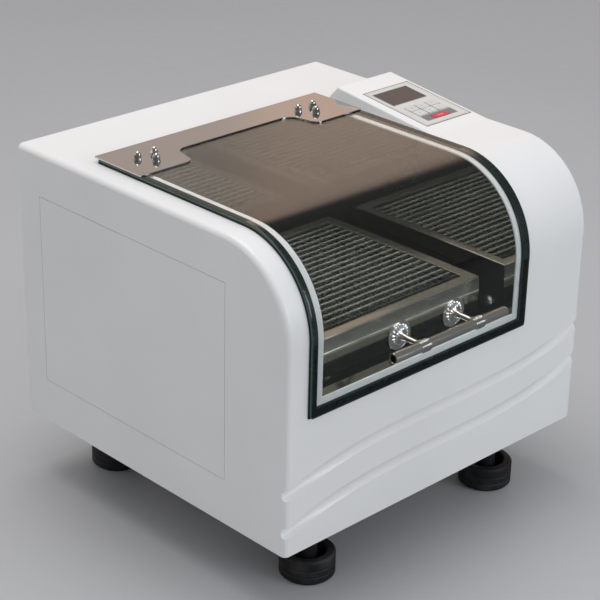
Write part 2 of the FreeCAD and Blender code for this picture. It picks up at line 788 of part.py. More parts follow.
def rocker_switch():
    """The rocker: its outer face is a shallow V, and it stands tilted with one half pressed in."""
    half = "(rocker_height / 2)"
    rise = f"({half} * tan(rocker_tilt))"
    inner = "-(rocker_depth / 2)"
    outer = "(rocker_depth / 2)"
    corners = [
        (inner, f"-{half} * cos(rocker_tilt)"),
        (f"{outer} + {rise} - rocker_proud", f"-{half}"),
        (f"{outer} - rocker_proud", "0"),
        (f"{outer} + {rise} - rocker_proud", half),
        (inner, f"{half} * cos(rocker_tilt)"),
    ]
    rocker = prism("rocker", "YZ_Plane", corners, "-rocker_width / 2", "rocker_width / 2")
    rocker.Placement = FreeCAD.Placement(FreeCAD.Vector(), FreeCAD.Rotation(FreeCAD.Vector(1, 0, 0), 0))
    rocker.setExpression("Placement.Rotation.Angle", bound("rocker_tilt"))
    bind(rocker, {}, (INLET_X, ROCKER_Y, ROCKER_Z))
    piece("rocker_switch", [rocker])


# Chamber

def chamber_liner():
    """The polished steel tub: four walls, a floor and a ledge up to the casing's front."""
    wall = "liner_sheet"
    ledge = f"({OPENING_BOTTOM} - liner_ledge)"
    low = f"({LINER_FLOOR} - {wall})"
    top = "(casing_height - casing_wall)"
    outline = [
        (f"liner_front - {wall}", low),
        (f"{LINER_REAR} + {wall}", low),
        (f"{LINER_REAR} + {wall}", top),
        ("casing_wall", top),
        ("casing_wall", f"{ledge} - {wall}"),
        (f"liner_front - {wall}", f"{ledge} - {wall}"),
    ]
    half = f"({LINER_HALF} + {wall})"
    outer = prism("liner_outer", "YZ_Plane", outline, f"{MIDDLE} - {half}", f"{MIDDLE} + {half}",
                  [((3,), "front_radius - casing_wall")])
    hollow = [
        ("liner_front", LINER_FLOOR),
        (LINER_REAR, LINER_FLOOR),
        (LINER_REAR, f"{top} + overrun"),
        ("casing_wall - overrun", f"{top} + overrun"),
        ("casing_wall - overrun", ledge),
        ("liner_front", ledge),
    ]
    inner = prism("liner_inner", "YZ_Plane", hollow, f"{MIDDLE} - {LINER_HALF}", f"{MIDDLE} + {LINER_HALF}")
    through_floor = (f"{LINER_FLOOR} - {wall} - overrun", f"{LINER_FLOOR} + overrun")
    grille_half = f"({LINER_HALF} - grille_margin - grille_land)"
    slot = box("grille_slot", (f"{MIDDLE} - {grille_half}", f"{MIDDLE} + {grille_half}"),
               ("liner_front + grille_setback + grille_land", "liner_front + grille_depth - grille_land"),
               through_floor)
    shaft_hole = rod("floor_hole", "shaft_radius + floor_hole_clearance", (MIDDLE, AXIS_Y), *through_floor)
    through_rear = (f"{LINER_REAR} - overrun", f"{LINER_REAR} + {wall} + overrun")
    slots = []
    for step in range(AIR_SLOTS):
        level = f"{FAN_Z} + ({step} - ({AIR_SLOTS} - 1) / 2) * air_slot_pitch"
        size = ("air_slot_length", "air_slot_height")
        slots.append(block_about("air_slot", (MIDDLE, level), size, through_rear))
    probe_hole = rod("probe_hole", "probe_radius", (PROBE_X, PROBE_Z), *through_rear, axis="y")
    tub = cut("liner_tub", outer, [inner])
    cutters = group("liner_cutters", [slot, shaft_hole, probe_hole] + slots)
    piece("chamber_liner", [cut("liner_open", tub, [cutters])])


def floor_grille():
    """The perforated strip in the floor's front: rows of round holes, each row half a pitch on."""
    half = number(f"{LINER_HALF} - grille_margin")
    pitch = number("grille_pitch")
    front = number("liner_front + grille_setback")
    depth = number("grille_depth - grille_setback")
    reach = half - pitch / 2
    radius = number("grille_hole_radius")
    length = number("2 * overrun + grille_thickness")
    level = number(f"{LINER_FLOOR} - overrun")
    holes = []
    rows = int((depth - pitch / 2) // pitch)
    columns = int(reach // pitch)
    for row in range(rows):
        y = front + depth / 2 + (row - (rows - 1) / 2) * pitch
        shift = pitch / 2 * (row % 2)
        for column in range(-columns, columns + 1 - row % 2):
            x = number(MIDDLE) + column * pitch + shift
            holes.append(Part.makeCylinder(radius, length, FreeCAD.Vector(x, y, level)))
    drills = doc.addObject("Part::Feature", "grille_drills")
    drills.Shape = Part.makeCompound(holes)
    strip_half = f"({LINER_HALF} - grille_margin)"
    strip = box("grille_strip", (f"{MIDDLE} - {strip_half}", f"{MIDDLE} + {strip_half}"),
                ("liner_front + grille_setback", "liner_front + grille_depth"),
                (LINER_FLOOR, f"{LINER_FLOOR} + grille_thickness"))
    piece("floor_grille", [cut("grille_drilled", strip, [drills])])


def liner_posts():
    """Four posts that carry the chamber on the pan."""
    posts = []
    for side in ("-", "+"):
        x = f"{MIDDLE} {side} ({LINER_HALF} - liner_post_inset_x)"
        for y in ("liner_front + liner_post_inset_y", f"{LINER_REAR} - liner_post_inset_y"):
            posts.append(rod("liner_post", "liner_post_radius", (x, y), "base_thickness",
                             f"{LINER_FLOOR} - liner_sheet"))
    piece("liner_posts", posts)


def air_duct():
    """The duct behind the chamber, with its fan, the fan's motor, the heater and the probe."""
    xs = (f"{MIDDLE} - duct_width / 2", f"{MIDDLE} + duct_width / 2")
    zs = (DUCT_BOTTOM, f"{DUCT_BOTTOM} + duct_height")
    shell = box("duct_shell", xs, (DUCT_FRONT, DUCT_BACK), zs)
    room = box("duct_room", (f"{xs[0]} + liner_sheet", f"{xs[1]} - liner_sheet"),
               (f"{DUCT_FRONT} - overrun", f"{DUCT_BACK} - liner_sheet"),
               (f"{DUCT_BOTTOM} + liner_sheet", f"{DUCT_BOTTOM} + duct_height - liner_sheet"))
    through = (f"{DUCT_BACK} - liner_sheet - overrun", f"{DUCT_BACK} + overrun")
    axis = (MIDDLE, FAN_Z)
    shaft_hole = rod("fan_shaft_hole", "fan_shaft_radius + shaft_hole_clearance", axis, *through, axis="y")
    legs = [(f"{MIDDLE} {side} heater_leg_spread / 2", HEATER_LEG_Z) for side in ("-", "+")]
    leg_holes = [rod("heater_hole", "heater_leg_radius", place, *through, axis="y") for place in legs]
    cutters = group("duct_cutters", [fuse("duct_hollow", [room, shaft_hole])] + leg_holes)
    piece("fan_duct", [cut("duct_open", shell, [cutters])])

    ring = doc.addObject("Part::Torus", fresh("heater_ring"))
    ring.Placement = FreeCAD.Placement(FreeCAD.Vector(), TURNS["y"])
    bind(ring, {"Radius1": "heater_ring_radius", "Radius2": "heater_tube_radius"},
         (MIDDLE, f"{FAN_FRONT} + fan_depth / 2", FAN_Z))
    tubes = [rod("heater_leg", "heater_leg_radius", place, f"{FAN_FRONT} + fan_depth / 2",
                 f"{DUCT_BACK} + overrun", axis="y") for place in legs]
    piece("heater_coil", [fuse("heater_whole", [ring] + tubes)])

    fan_back = f"({FAN_FRONT} + fan_depth)"
    disc = rod("fan_disc", "fan_radius", axis, f"{fan_back} - fan_back_thickness", fan_back, axis="y")
    hub = rod("fan_hub", "fan_hub_radius", axis, FAN_FRONT, fan_back, axis="y")
    shaft = rod("fan_shaft", "fan_shaft_radius", axis, FAN_FRONT, f"{DUCT_BACK} + fan_shaft_engagement",
                axis="y")
    blades = []
    for turn in range(FAN_BLADES):
        blade = doc.addObject("Part::Box", fresh("fan_blade"))
        bind(blade, {"Length": "fan_radius", "Width": "fan_depth", "Height": "fan_blade_thickness"},
             (MIDDLE, FAN_FRONT, FAN_Z))
        blade.Placement.Rotation = FreeCAD.Rotation(FreeCAD.Vector(0, 1, 0), turn * 360 / FAN_BLADES)
        blades.append(blade)
    trim = rod("fan_trim", "fan_radius", axis, FAN_FRONT, fan_back, axis="y")
    wheel = common("fan_blades", fuse("fan_star", blades), trim)
    piece("circulation_fan", [fuse("fan_whole", [wheel, disc, hub, shaft])])

    motor = rod("fan_motor_can", "fan_motor_radius", axis, DUCT_BACK, f"{DUCT_BACK} + fan_motor_length",
                axis="y")
    bore = rod("fan_motor_bore", "fan_shaft_radius + shaft_clearance", axis, f"{DUCT_BACK} - overrun",
               f"{DUCT_BACK} + fan_shaft_engagement + overrun", axis="y")
    piece("fan_motor", [cut("fan_motor_whole", motor, [bore])])

    gland = rod("probe_gland", "probe_gland_radius", (PROBE_X, PROBE_Z), f"{LINER_REAR} - probe_gland_length",
                LINER_REAR, axis="y")
    stem = rod("probe_stem", "probe_radius", (PROBE_X, PROBE_Z), f"{LINER_REAR} - probe_length",
               f"{LINER_REAR} + liner_sheet + overrun", axis="y")
    piece("temperature_probe", [fuse("probe_whole", [gland, stem])])


# Lid

def bolt_places():
    """Three bolts at each hinge: a pair at the rear and one in front."""
    places = []
    for x in HINGE_XS:
        places.append((f"{x} - nut_pair_spread", f"{LID_REAR} - nut_rear_setback"))
        places.append((f"{x} + nut_pair_spread", f"{LID_REAR} - nut_rear_setback"))
        places.append((x, f"{LID_REAR} - nut_front_setback"))
    return places


def lid_glass():
    """The bent pane, drilled for the hinge bolts and the handle."""
    pane = bent_sheet("glass_pane", "glass_gap", PROUD, LID_LEFT, LID_RIGHT, LID_BOTTOM, LID_REAR)
    low = number(LID_BOTTOM)
    round_edges(pane, "glass_corner", lambda edge: abs(edge.BoundBox.ZMax - low) < NEAR
                and edge.BoundBox.XLength < NEAR and edge.BoundBox.ZLength < NEAR)
    drills = [rod("glass_bolt_hole", "bolt_radius", place, "casing_height",
                  f"casing_height + {PROUD} + overrun")
              for place in bolt_places()]
    drills += [rod("glass_handle_hole", "handle_bolt_radius", (x, HANDLE_Z), f"-{PROUD} - overrun", "0",
                   axis="y") for x in HANDLE_XS]
    piece("lid_glass", [cut("glass_drilled", pane, [group("glass_drills", drills)])])


def lid_gasket():
    """The black rubber band round the pane's edge, open where the hinges pass."""
    band = bent_sheet("gasket_band", "gasket_clearance", "glass_gap", LID_LEFT, LID_RIGHT, LID_BOTTOM, LID_REAR)
    window = bent_sheet("gasket_window", "-overrun", "glass_gap + overrun", f"{LID_LEFT} + gasket_width",
                        f"{LID_RIGHT} - gasket_width", f"{LID_BOTTOM} + gasket_width",
                        f"{LID_REAR} - gasket_width")
    leaf_half = "(hinge_leaf_width / 2 + knuckle_gap)"
    gaps = [box("gasket_gap", (f"{x} - {leaf_half}", f"{x} + {leaf_half}"),
                (f"{LID_REAR} - gasket_width - overrun", f"{LID_REAR} + overrun"),
                ("casing_height", f"casing_height + {PROUD}")) for x in HINGE_XS]
    piece("lid_gasket", [cut("gasket_cut", band, [fuse("gasket_cutters", [window] + gaps)])])


def hinge_cover_plate():
    """The tinted plate over the hinges: deep at both ends, narrow between, with curved steps."""
    wide = f"({HINGE_Y} - plate_wide_depth)"
    narrow = f"({HINGE_Y} - plate_narrow_depth)"
    corners = [
        (LID_LEFT, wide),
        (f"{LID_LEFT} + plate_wide_width", wide),
        (f"{LID_LEFT} + plate_wide_width + plate_slant", narrow),
        (f"{LID_RIGHT} - plate_wide_width - plate_slant", narrow),
        (f"{LID_RIGHT} - plate_wide_width", wide),
        (LID_RIGHT, wide),
        (LID_RIGHT, PLATE_REAR),
        (LID_LEFT, PLATE_REAR),
    ]
    low = f"casing_height + {PROUD}"
    plate = prism("cover_plate", "XY_Plane", corners, low, f"{low} + plate_thickness",
                  [((1, 4), "plate_outer_round"), ((2, 3), "plate_inner_round"),
                   ((0, 5, 6, 7), "plate_corner")])
    holes = [rod("plate_bolt_hole", "bolt_radius", place, low, f"{low} + plate_thickness + overrun")
             for place in bolt_places()]
    piece("hinge_cover_plate", [cut("plate_drilled", plate, [group("plate_drills", holes)])])


def acorn_nuts():
    """Six chromed domed nuts on washers."""
    nuts = []
    low = f"(casing_height + {PROUD} + plate_thickness)"
    hex_low = f"({low} + nut_washer_thickness)"
    hex_top = f"({hex_low} + nut_hex_height)"
    for place in bolt_places():
        washer = rod("nut_washer", "nut_washer_radius", place, low, hex_low)
        hexagon = doc.addObject("Part::Prism", fresh("nut_hexagon"))
        hexagon.Polygon = 6
        bind(hexagon, {"Circumradius": "nut_hex_radius", "Height": "nut_hex_height"}, (*place, hex_low))
        dome = doc.addObject("Part::Sphere", fresh("nut_dome"))
        bind(dome, {"Radius": "nut_dome_radius"}, (*place, hex_top))
        bore = rod("nut_bore", "bolt_radius", place, low, hex_top)
        nuts.append(cut("acorn_nut", fuse("nut_whole", [washer, hexagon, dome]), [bore]))
    piece("acorn_nuts", nuts)


def hinge_bolts():
    """The bolts that clamp leaf, glass and plate under the nuts."""
    bolts = []
    leaf_low = "(casing_height + glass_gap - hinge_leaf_thickness)"
    for place in bolt_places():
        head = rod("bolt_head", "bolt_head_radius", place, f"{leaf_low} - bolt_head_height", leaf_low)
        shank = rod("bolt_shank", "bolt_radius", place, leaf_low,
                    f"casing_height + {PROUD} + plate_thickness + nut_washer_thickness + nut_hex_height")
        bolts.append(fuse("hinge_bolt", [head, shank]))
    piece("hinge_bolts", bolts)


def hinge_parts():
    """Two butt hinges: lid leaves, body leaves and the pins through their knuckles."""
    lid_leaves = []
    body_leaves = []
    pins = []
    bolts = bolt_places()
    for index, x in enumerate(HINGE_XS):
        left, right = f"{x} - hinge_leaf_width / 2", f"{x} + hinge_leaf_width / 2"
        inner, outer = f"{x} - knuckle_length / 2", f"{x} + knuckle_length / 2"
        bore = rod("knuckle_bore", "hinge_pin_radius + hinge_pin_clearance", (HINGE_Y, HINGE_Z),
                   f"{left} - overrun", f"{right} + overrun", axis="x")
        lid_zs = ("casing_height + glass_gap - hinge_leaf_thickness", "casing_height + glass_gap")
        knuckle_front = f"{HINGE_Y} - hinge_knuckle_radius - knuckle_gap"
        leaf = box("lid_leaf", (left, right), (f"{HINGE_Y} - hinge_leaf_reach", knuckle_front), lid_zs)
        tab = box("lid_tab", (inner, outer), (f"{HINGE_Y} - hinge_leaf_reach", HINGE_Y), lid_zs)
        barrel = rod("lid_knuckle", "hinge_knuckle_radius", (HINGE_Y, HINGE_Z), inner, outer, axis="x")
        drills = [rod("leaf_bolt_hole", "bolt_radius", place, "casing_height",
                      "casing_height + glass_gap + overrun")
                  for place in bolts[3 * index:3 * index + 3]]
        lid_leaves.append(cut("lid_leaf_bored", fuse("lid_leaf_whole", [leaf, tab, barrel]),
                              [group("lid_leaf_drills", [bore] + drills)]))
        body_zs = ("casing_height", "casing_height + hinge_leaf_thickness")
        parts = [box("body_leaf", (left, right), (f"{HINGE_Y} - body_leaf_reach", knuckle_front), body_zs)]
        for low, high in ((left, f"{inner} - knuckle_gap"), (f"{outer} + knuckle_gap", right)):
            parts.append(box("body_tab", (low, high), (f"{HINGE_Y} - body_leaf_reach", HINGE_Y), body_zs))
            parts.append(rod("body_knuckle", "hinge_knuckle_radius", (HINGE_Y, HINGE_Z), low, high, axis="x"))
        body_leaves.append(cut("body_leaf_bored", fuse("body_leaf_whole", parts), [fixed_bore(left, right)]))
        pins.append(rod("hinge_pin", "hinge_pin_radius", (HINGE_Y, HINGE_Z), left, right, axis="x"))
    piece("lid_hinge_leaves", lid_leaves)
    piece("body_hinge_leaves", body_leaves)
    piece("hinge_pins", pins)


def fixed_bore(left, right):
    """The pin's bore for the fixed knuckles, which hold it."""
    return rod("body_bore", "hinge_pin_radius", (HINGE_Y, HINGE_Z), *wider((left, right)), axis="x")


def handle():
    """The lid's handle: domed rosettes, tapered posts, ringed collars and the bar."""
    rosettes = []
    posts = []
    collars = []
    washers = []
    glass_face = f"-{PROUD}"
    rosette_face = f"({glass_face} - rosette_edge)"
    bar_middle = (BAR_Y, HANDLE_Z)
    for x in HANDLE_XS:
        place = (x, HANDLE_Z)
        edge = rod("rosette_edge", "rosette_radius", place, rosette_face, glass_face, axis="y")
        dome = rod("rosette_dome", "post_root_radius", place, f"{rosette_face} - rosette_dome", rosette_face,
                   axis="y", tip_radius="rosette_radius")
        core = rod("rosette_core", "handle_bolt_radius", place, f"{rosette_face} - rosette_dome - overrun",
                   f"{glass_face} + overrun", axis="y")
        rosettes.append(cut("rosette", fuse("rosette_whole", [edge, dome]), [core]))
        collar_xs = (f"{x} - collar_length / 2", f"{x} + collar_length / 2")
        collar = rod("collar_ring", "collar_diameter / 2", bar_middle, *collar_xs, axis="x")
        collar_bore = rod("collar_bore", "bar_diameter / 2", bar_middle, *wider(collar_xs), axis="x")
        collars.append(cut("collar", collar, [collar_bore]))
        taper = rod("post_taper", "post_tip_radius", place, BAR_Y, f"{rosette_face} - rosette_dome", axis="y",
                    tip_radius="post_root_radius")
        bolt = rod("post_bolt", "handle_bolt_radius", place, f"{rosette_face} - rosette_dome",
                   "-glass_gap + handle_washer_thickness", axis="y")
        clear = rod("post_notch", "collar_diameter / 2", bar_middle, *wider(collar_xs), axis="x")
        posts.append(cut("handle_post", fuse("post_whole", [taper, bolt]), [clear]))
        washer_ys = ("-glass_gap", "-glass_gap + handle_washer_thickness")
        washer = rod("handle_washer", "handle_washer_radius", place, *washer_ys, axis="y")
        washer_bore = rod("handle_washer_bore", "handle_bolt_radius", place, *wider(washer_ys), axis="y")
        washers.append(cut("handle_washer_ring", washer, [washer_bore]))
    piece("handle_rosettes", rosettes)
    piece("handle_posts", posts)
    piece("handle_collars", collars)
    piece("handle_washers", washers)

    bar_left, bar_right = f"({MIDDLE} - bar_length / 2)", f"({MIDDLE} + bar_length / 2)"
    bar = rod("bar_rod", "bar_diameter / 2", bar_middle, bar_left, f"{bar_right} - bar_round", axis="x")
    tip = rod("bar_tip", "bar_diameter / 2", bar_middle, f"{bar_right} - bar_round", bar_right, axis="x",
              tip_radius="bar_diameter / 2 - bar_round / 2")
    hollow = rod("bar_hollow", "bar_bore / 2", bar_middle, f"{bar_left} - overrun",
                 f"{bar_left} + bar_bore_depth", axis="x")
    piece("handle_bar", [cut("bar_open", fuse("bar_whole", [bar, tip]), [hollow])])


# Control housing and keypad

PANEL_XS = (f"({HOUSING_LEFT} + panel_margin)", f"({HOUSING_LEFT} + panel_margin + panel_width)")
PANEL_VS = ("panel_setback", "(panel_setback + panel_length)")
DISPLAY_XS = (f"({PANEL_XS[0]} + display_inset)", f"({PANEL_XS[0]} + display_inset + display_width)")
DISPLAY_VS = ("(panel_setback + display_setback)", "(panel_setback + display_setback + display_length)")


def key_windows():
    """Each key's name and its rectangle in X and up the slope."""
    windows = []
    for row in range(KEY_ROWS):
        for column in range(KEY_COLUMNS):
            left = f"({PANEL_XS[0]} + key_inset + {column} * key_pitch)"
            front = f"(panel_setback + key_setback + {KEY_ROWS - 1 - row} * key_row_pitch)"
            label = f"key_{row * KEY_COLUMNS + column + 1}"
            windows.append((label, (left, f"({left} + key_width)"), (front, f"({front} + key_length)")))
    left = f"({PANEL_XS[0]} + start_key_inset)"
    front = "(panel_setback + start_key_setback)"
    xs = (left, f"({left} + start_key_width)")
    windows.append(("start_key", xs, (front, f"({front} + start_key_length)")))
    return windows


def control_housing():
    """The low wedge at the top right, hollow towards its rear, with the keypad's recess."""
    corners = [(HOUSING_FRONT, "casing_height"), (HOUSING_REAR, "casing_height"),
               (HOUSING_CREST, "casing_height + housing_rise")]
    wedge = prism("housing_wedge", "YZ_Plane", corners, HOUSING_LEFT, HOUSING_RIGHT)
    base = number("casing_height")
    round_edges(wedge, "housing_round", lambda edge: edge.BoundBox.ZMax > base + number("housing_rise / 2"))
    hollow_rear = f"({HOUSING_CREST} - housing_wall)"
    hollow_front = f"({hollow_rear} - housing_hollow_length)"
    top_front = f"(casing_height + ({hollow_front} - {HOUSING_FRONT}) * {SLOPE} - 2 * housing_wall)"
    top_rear = f"(casing_height + ({hollow_rear} - {HOUSING_FRONT}) * {SLOPE} - 2 * housing_wall)"
    outline = [
        (hollow_front, "casing_height - overrun"),
        (hollow_rear, "casing_height - overrun"),
        (hollow_rear, top_rear),
        (hollow_front, top_front),
    ]
    hollow = prism("housing_hollow", "YZ_Plane", outline, f"{HOUSING_LEFT} + housing_wall",
                   f"{HOUSING_RIGHT} - housing_wall")
    recess = box("panel_recess", wider(PANEL_XS, "panel_seam"), wider(PANEL_VS, "panel_seam"),
                 ("-panel_thickness", "overrun"))
    wells = [box("key_well", wider(xs, "key_clearance"), wider(vs, "key_clearance"),
                 ("-key_depth - key_well", "-panel_thickness / 2")) for _, xs, vs in key_windows()]
    tools = fuse("housing_tools", [recess] + wells)
    tools.Placement = FreeCAD.Placement(FreeCAD.Vector(), FreeCAD.Rotation(FreeCAD.Vector(1, 0, 0), 0))
    tools.setExpression("Placement.Rotation.Angle", bound(SLOPE_ANGLE))
    bind(tools, {}, ("0", HOUSING_FRONT, "casing_height"))
    piece("control_housing", [cut("housing_recessed", cut("housing_shell", wedge, [hollow]), [tools])])


def keypad():
    """The cream panel with its display window and keys, all in the slope's own plane."""
    plate = box("panel_plate", PANEL_XS, PANEL_VS, ("-panel_thickness", "0"))
    holes = [box("display_hole", DISPLAY_XS, DISPLAY_VS, ("-panel_thickness - overrun", "overrun"))]
    for _, xs, vs in key_windows():
        holes.append(box("key_hole", wider(xs, "key_clearance"), wider(vs, "key_clearance"),
                         ("-panel_thickness - overrun", "overrun")))
    piece("membrane_panel", [cut("panel_cut", plate, [group("panel_holes", holes)])], sloping=True)
    window = box("display_block", DISPLAY_XS, DISPLAY_VS, ("-panel_thickness", "-display_sink"))
    piece("display_window", [window], sloping=True)
    for label, xs, vs in key_windows():
        corners = [(xs[0], vs[0]), (xs[1], vs[0]), (xs[1], vs[1]), (xs[0], vs[1])]
        cap = prism(label + "_cap", "XY_Plane", corners, "-key_depth", "key_proud",
                    [((0, 1, 2, 3), "key_round")])
        piece(label, [cap], sloping=True)


def control_board():
    """The circuit board under the housing, on four posts below the casing's top."""
    top = "(casing_height - casing_wall)"
    middle_x = f"(({HOUSING_LEFT} + {HOUSING_RIGHT}) / 2)"
    middle_y = f"(({HOUSING_FRONT} + {HOUSING_REAR}) / 2)"
    board_top = f"({top} - board_drop)"
    board = box("board_sheet", (f"{middle_x} - board_width / 2", f"{middle_x} + board_width / 2"),
                (f"{middle_y} - board_length / 2", f"{middle_y} + board_length / 2"),
                (f"{board_top} - board_thickness", board_top))
    posts = []
    for across in ("-", "+"):
        for along in ("-", "+"):
            place = (f"{middle_x} {across} (board_width / 2 - board_post_inset)",
                     f"{middle_y} {along} (board_length / 2 - board_post_inset)")
            posts.append(rod("board_post", "board_post_radius", place,
                             f"{board_top} - board_thickness / 2", top))
    piece("control_board", [fuse("board_whole", [board] + posts)])


# Shaking platform

def rack_frame():
    """The platform's frame: an outer skirt, a flat rim and an inner lip that holds the springs."""
    outer_xs, outer_ys = (RACK_LEFT, RACK_RIGHT), (RACK_FRONT, RACK_REAR)
    inner_xs, inner_ys = wider(outer_xs, "(-rack_rim)"), wider(outer_ys, "(-rack_rim)")
    zs = (TRAY_TOP, RACK_TOP)
    whole = box("rack_block", outer_xs, outer_ys, zs)
    middle = box("rack_middle", inner_xs, inner_ys, wider(zs))
    under = box("rack_under", wider(outer_xs, "(-rack_sheet)"), wider(outer_ys, "(-rack_sheet)"),
                (f"{TRAY_TOP} - overrun", f"{RACK_TOP} - rack_sheet"))
    lip_zs = (f"{RACK_TOP} - rack_lip", f"{RACK_TOP} - rack_sheet")
    lip_outer = box("rack_lip_outer", wider(inner_xs, "rack_sheet"), wider(inner_ys, "rack_sheet"), lip_zs)
    lip_inner = box("rack_lip_inner", inner_xs, inner_ys, wider(lip_zs))
    skin = cut("rack_skin", whole, [fuse("rack_hollows", [middle, under])])
    lip = cut("rack_lip_ring", lip_outer, [lip_inner])
    piece("rack_frame", [fuse("rack_whole", [skin, lip])])


def springs(label, along, pitch, level):
    """A row of the rack's springs, each a rod of the spring's outer diameter from lip to lip."""
    starts = {"x": RACK_LEFT, "y": RACK_FRONT}
    ends = {"x": RACK_RIGHT, "y": RACK_REAR}
    across = "y" if along == "x" else "x"
    first, last = f"{starts[across]} + rack_rim", f"{ends[across]} - rack_rim"
    room = number(f"({last}) - ({first})")
    count = int((room - number("spring_diameter") * 2) // number(pitch)) + 1
    rods = []
    for step in range(count):
        place = f"(({first}) + ({last})) / 2 + ({step} - {count - 1} / 2) * {pitch}"
        rods.append(rod("spring", "spring_diameter / 2", (place, level), f"{starts[along]} + rack_rim",
                        f"{ends[along]} - rack_rim", axis=along))
    piece(label, rods)


def rack_springs():
    """The upper springs run across and the lower ones from front to rear, just clear of each other."""
    upper = f"({RACK_TOP} - spring_sink - spring_diameter / 2)"
    springs("cross_springs", "x", "cross_spring_pitch", upper)
    springs("long_springs", "y", "long_spring_pitch", f"({upper} - spring_diameter - spring_gap)")


def carriage_tray():
    """The pressed tray under the rack, with the hubs that the cranks carry."""
    xs, ys = (RACK_LEFT, RACK_RIGHT), (RACK_FRONT, RACK_REAR)
    block = box("tray_block", xs, ys, (f"{TRAY_TOP} - tray_skirt", TRAY_TOP))
    room = box("tray_room", wider(xs, "(-tray_sheet)"), wider(ys, "(-tray_sheet)"),
               (f"{TRAY_TOP} - tray_skirt - overrun", TRAY_CEILING))
    axis = (MIDDLE, PIN_Y)
    hub_low = f"({TRAY_CEILING} - hub_length)"
    hub = rod("tray_hub", "hub_radius", axis, hub_low, TRAY_CEILING)
    seat = rod("hub_seat", "carriage_bearing_radius", axis, f"{hub_low} - overrun", BEARING_TOP)
    relief = rod("hub_relief", "crank_pin_radius + shaft_hole_clearance", axis, hub_low,
                 f"{TRAY_CEILING} - hub_roof")
    hubs = [hub]
    bores = [fuse("hub_bore", [seat, relief])]
    for x, reach in IDLERS:
        place = (x, f"{PIN_Y} + {reach}")
        hubs.append(rod("idler_hub", "idler_hub_radius", place, f"{TRAY_CEILING} - idler_hub_length",
                        TRAY_CEILING))
        bores.append(rod("idler_hub_bore", "idler_journal_radius + shaft_clearance", place,
                         f"{TRAY_CEILING} - idler_hub_length - overrun", f"{TRAY_CEILING} - hub_roof"))
    whole = fuse("tray_whole", [cut("tray_walls", block, [room])] + hubs)
    piece("carriage_tray", [cut("tray_bored", whole, [group("tray_bores", bores)])])
    bearing_zs = (f"{BEARING_TOP} - carriage_bearing_width", BEARING_TOP)
    ring = rod("carriage_ring", "carriage_bearing_radius", axis, *bearing_zs)
    bore = rod("carriage_bore", "crank_pin_radius + shaft_clearance", axis, *wider(bearing_zs))
    piece("carriage_bearing", [cut("carriage_bearing_ring", ring, [bore])])


# Orbital drive

def crank_shaft():
    """The vertical shaft, its web and the pin set off by the orbit's radius."""
    axis = (MIDDLE, AXIS_Y)
    shaft = rod("drive_shaft", "shaft_radius", axis, "shaft_bottom", WEB_LOW)
    web = rod("crank_web", "web_radius", axis, WEB_LOW, WEB_TOP)
    pin = rod("crank_pin", "crank_pin_radius", (MIDDLE, PIN_Y), WEB_TOP, PIN_TOP)
    piece("crank_shaft", [fuse("crank_whole", [shaft, web, pin])])


def counterweight():
    """The half disc on the shaft, opposite the crank pin."""
    axis = (MIDDLE, AXIS_Y)
    zs = (COUNTERWEIGHT_LEVEL, f"{COUNTERWEIGHT_LEVEL} + counterweight_thickness")
    disc = rod("weight_disc", "counterweight_radius", axis, *zs)
    reach = "(counterweight_radius + overrun)"
    front = box("weight_front", (f"{MIDDLE} - {reach}", f"{MIDDLE} + {reach}"), (f"{AXIS_Y} - {reach}", AXIS_Y),
                wider(zs))
    hub = rod("weight_hub", "counterweight_hub_radius", axis, *zs)
    bore = rod("weight_bore", "shaft_radius", axis, *wider(zs))
    half = cut("weight_half", disc, [front])
    piece("counterweight", [cut("weight_bored", fuse("weight_whole", [half, hub]), [bore])])


def pulley(label, radius, bore_radius, place):
    """A flanged belt pulley bored for its shaft."""
    low, high = PULLEY_LEVEL, f"({PULLEY_LEVEL} + pulley_width)"
    rim = rod("pulley_rim", radius, place, low, high)
    flanges = [rod("pulley_flange", f"{radius} + pulley_flange", place, start, end) for start, end in
               ((low, f"{low} + pulley_flange_thickness"), (f"{high} - pulley_flange_thickness", high))]
    bore = rod("pulley_bore", bore_radius, place, *wider((low, high)))
    return cut(label + "_bored", fuse(label + "_whole", [rim] + flanges), [bore])


def main_bearings():
    """The flanged housing on the pan, with a ball bearing at each end."""
    axis = (MIDDLE, AXIS_Y)
    flange_top = "(base_thickness + bearing_flange_thickness)"
    flange = rod("housing_flange", "bearing_flange_radius", axis, "base_thickness", flange_top)
    tube = rod("housing_tube", "bearing_housing_radius", axis, "base_thickness", BEARING_HOUSING_TOP)
    lower = ("base_thickness + bearing_land", "base_thickness + bearing_land + bearing_width")
    upper = (f"{BEARING_HOUSING_TOP} - bearing_width", BEARING_HOUSING_TOP)
    seats = [rod("bearing_seat", "bearing_outer_radius", axis, lower[0], lower[1]),
             rod("bearing_seat", "bearing_outer_radius", axis, upper[0], f"{upper[1]} + overrun"),
             rod("bearing_relief", "shaft_radius + bearing_land", axis, "base_thickness - overrun",
                 BEARING_HOUSING_TOP)]
    casting = fuse("housing_casting", [flange, tube])
    piece("main_bearing_housing", [cut("housing_bored", casting, [fuse("housing_seats", seats)])])
    rings = []
    for low, high in (lower, upper):
        ring = rod("main_ring", "bearing_outer_radius", axis, low, high)
        bore = rod("main_bore", "shaft_radius + shaft_clearance", axis, *wider((low, high)))
        rings.append(cut("main_bearing", ring, [bore]))
    piece("main_bearings", rings)


def spoke(middle, radius, angle):
    """The point at an angle on a circle round a middle."""
    return middle + FreeCAD.Vector(math.cos(angle), math.sin(angle), 0) * radius


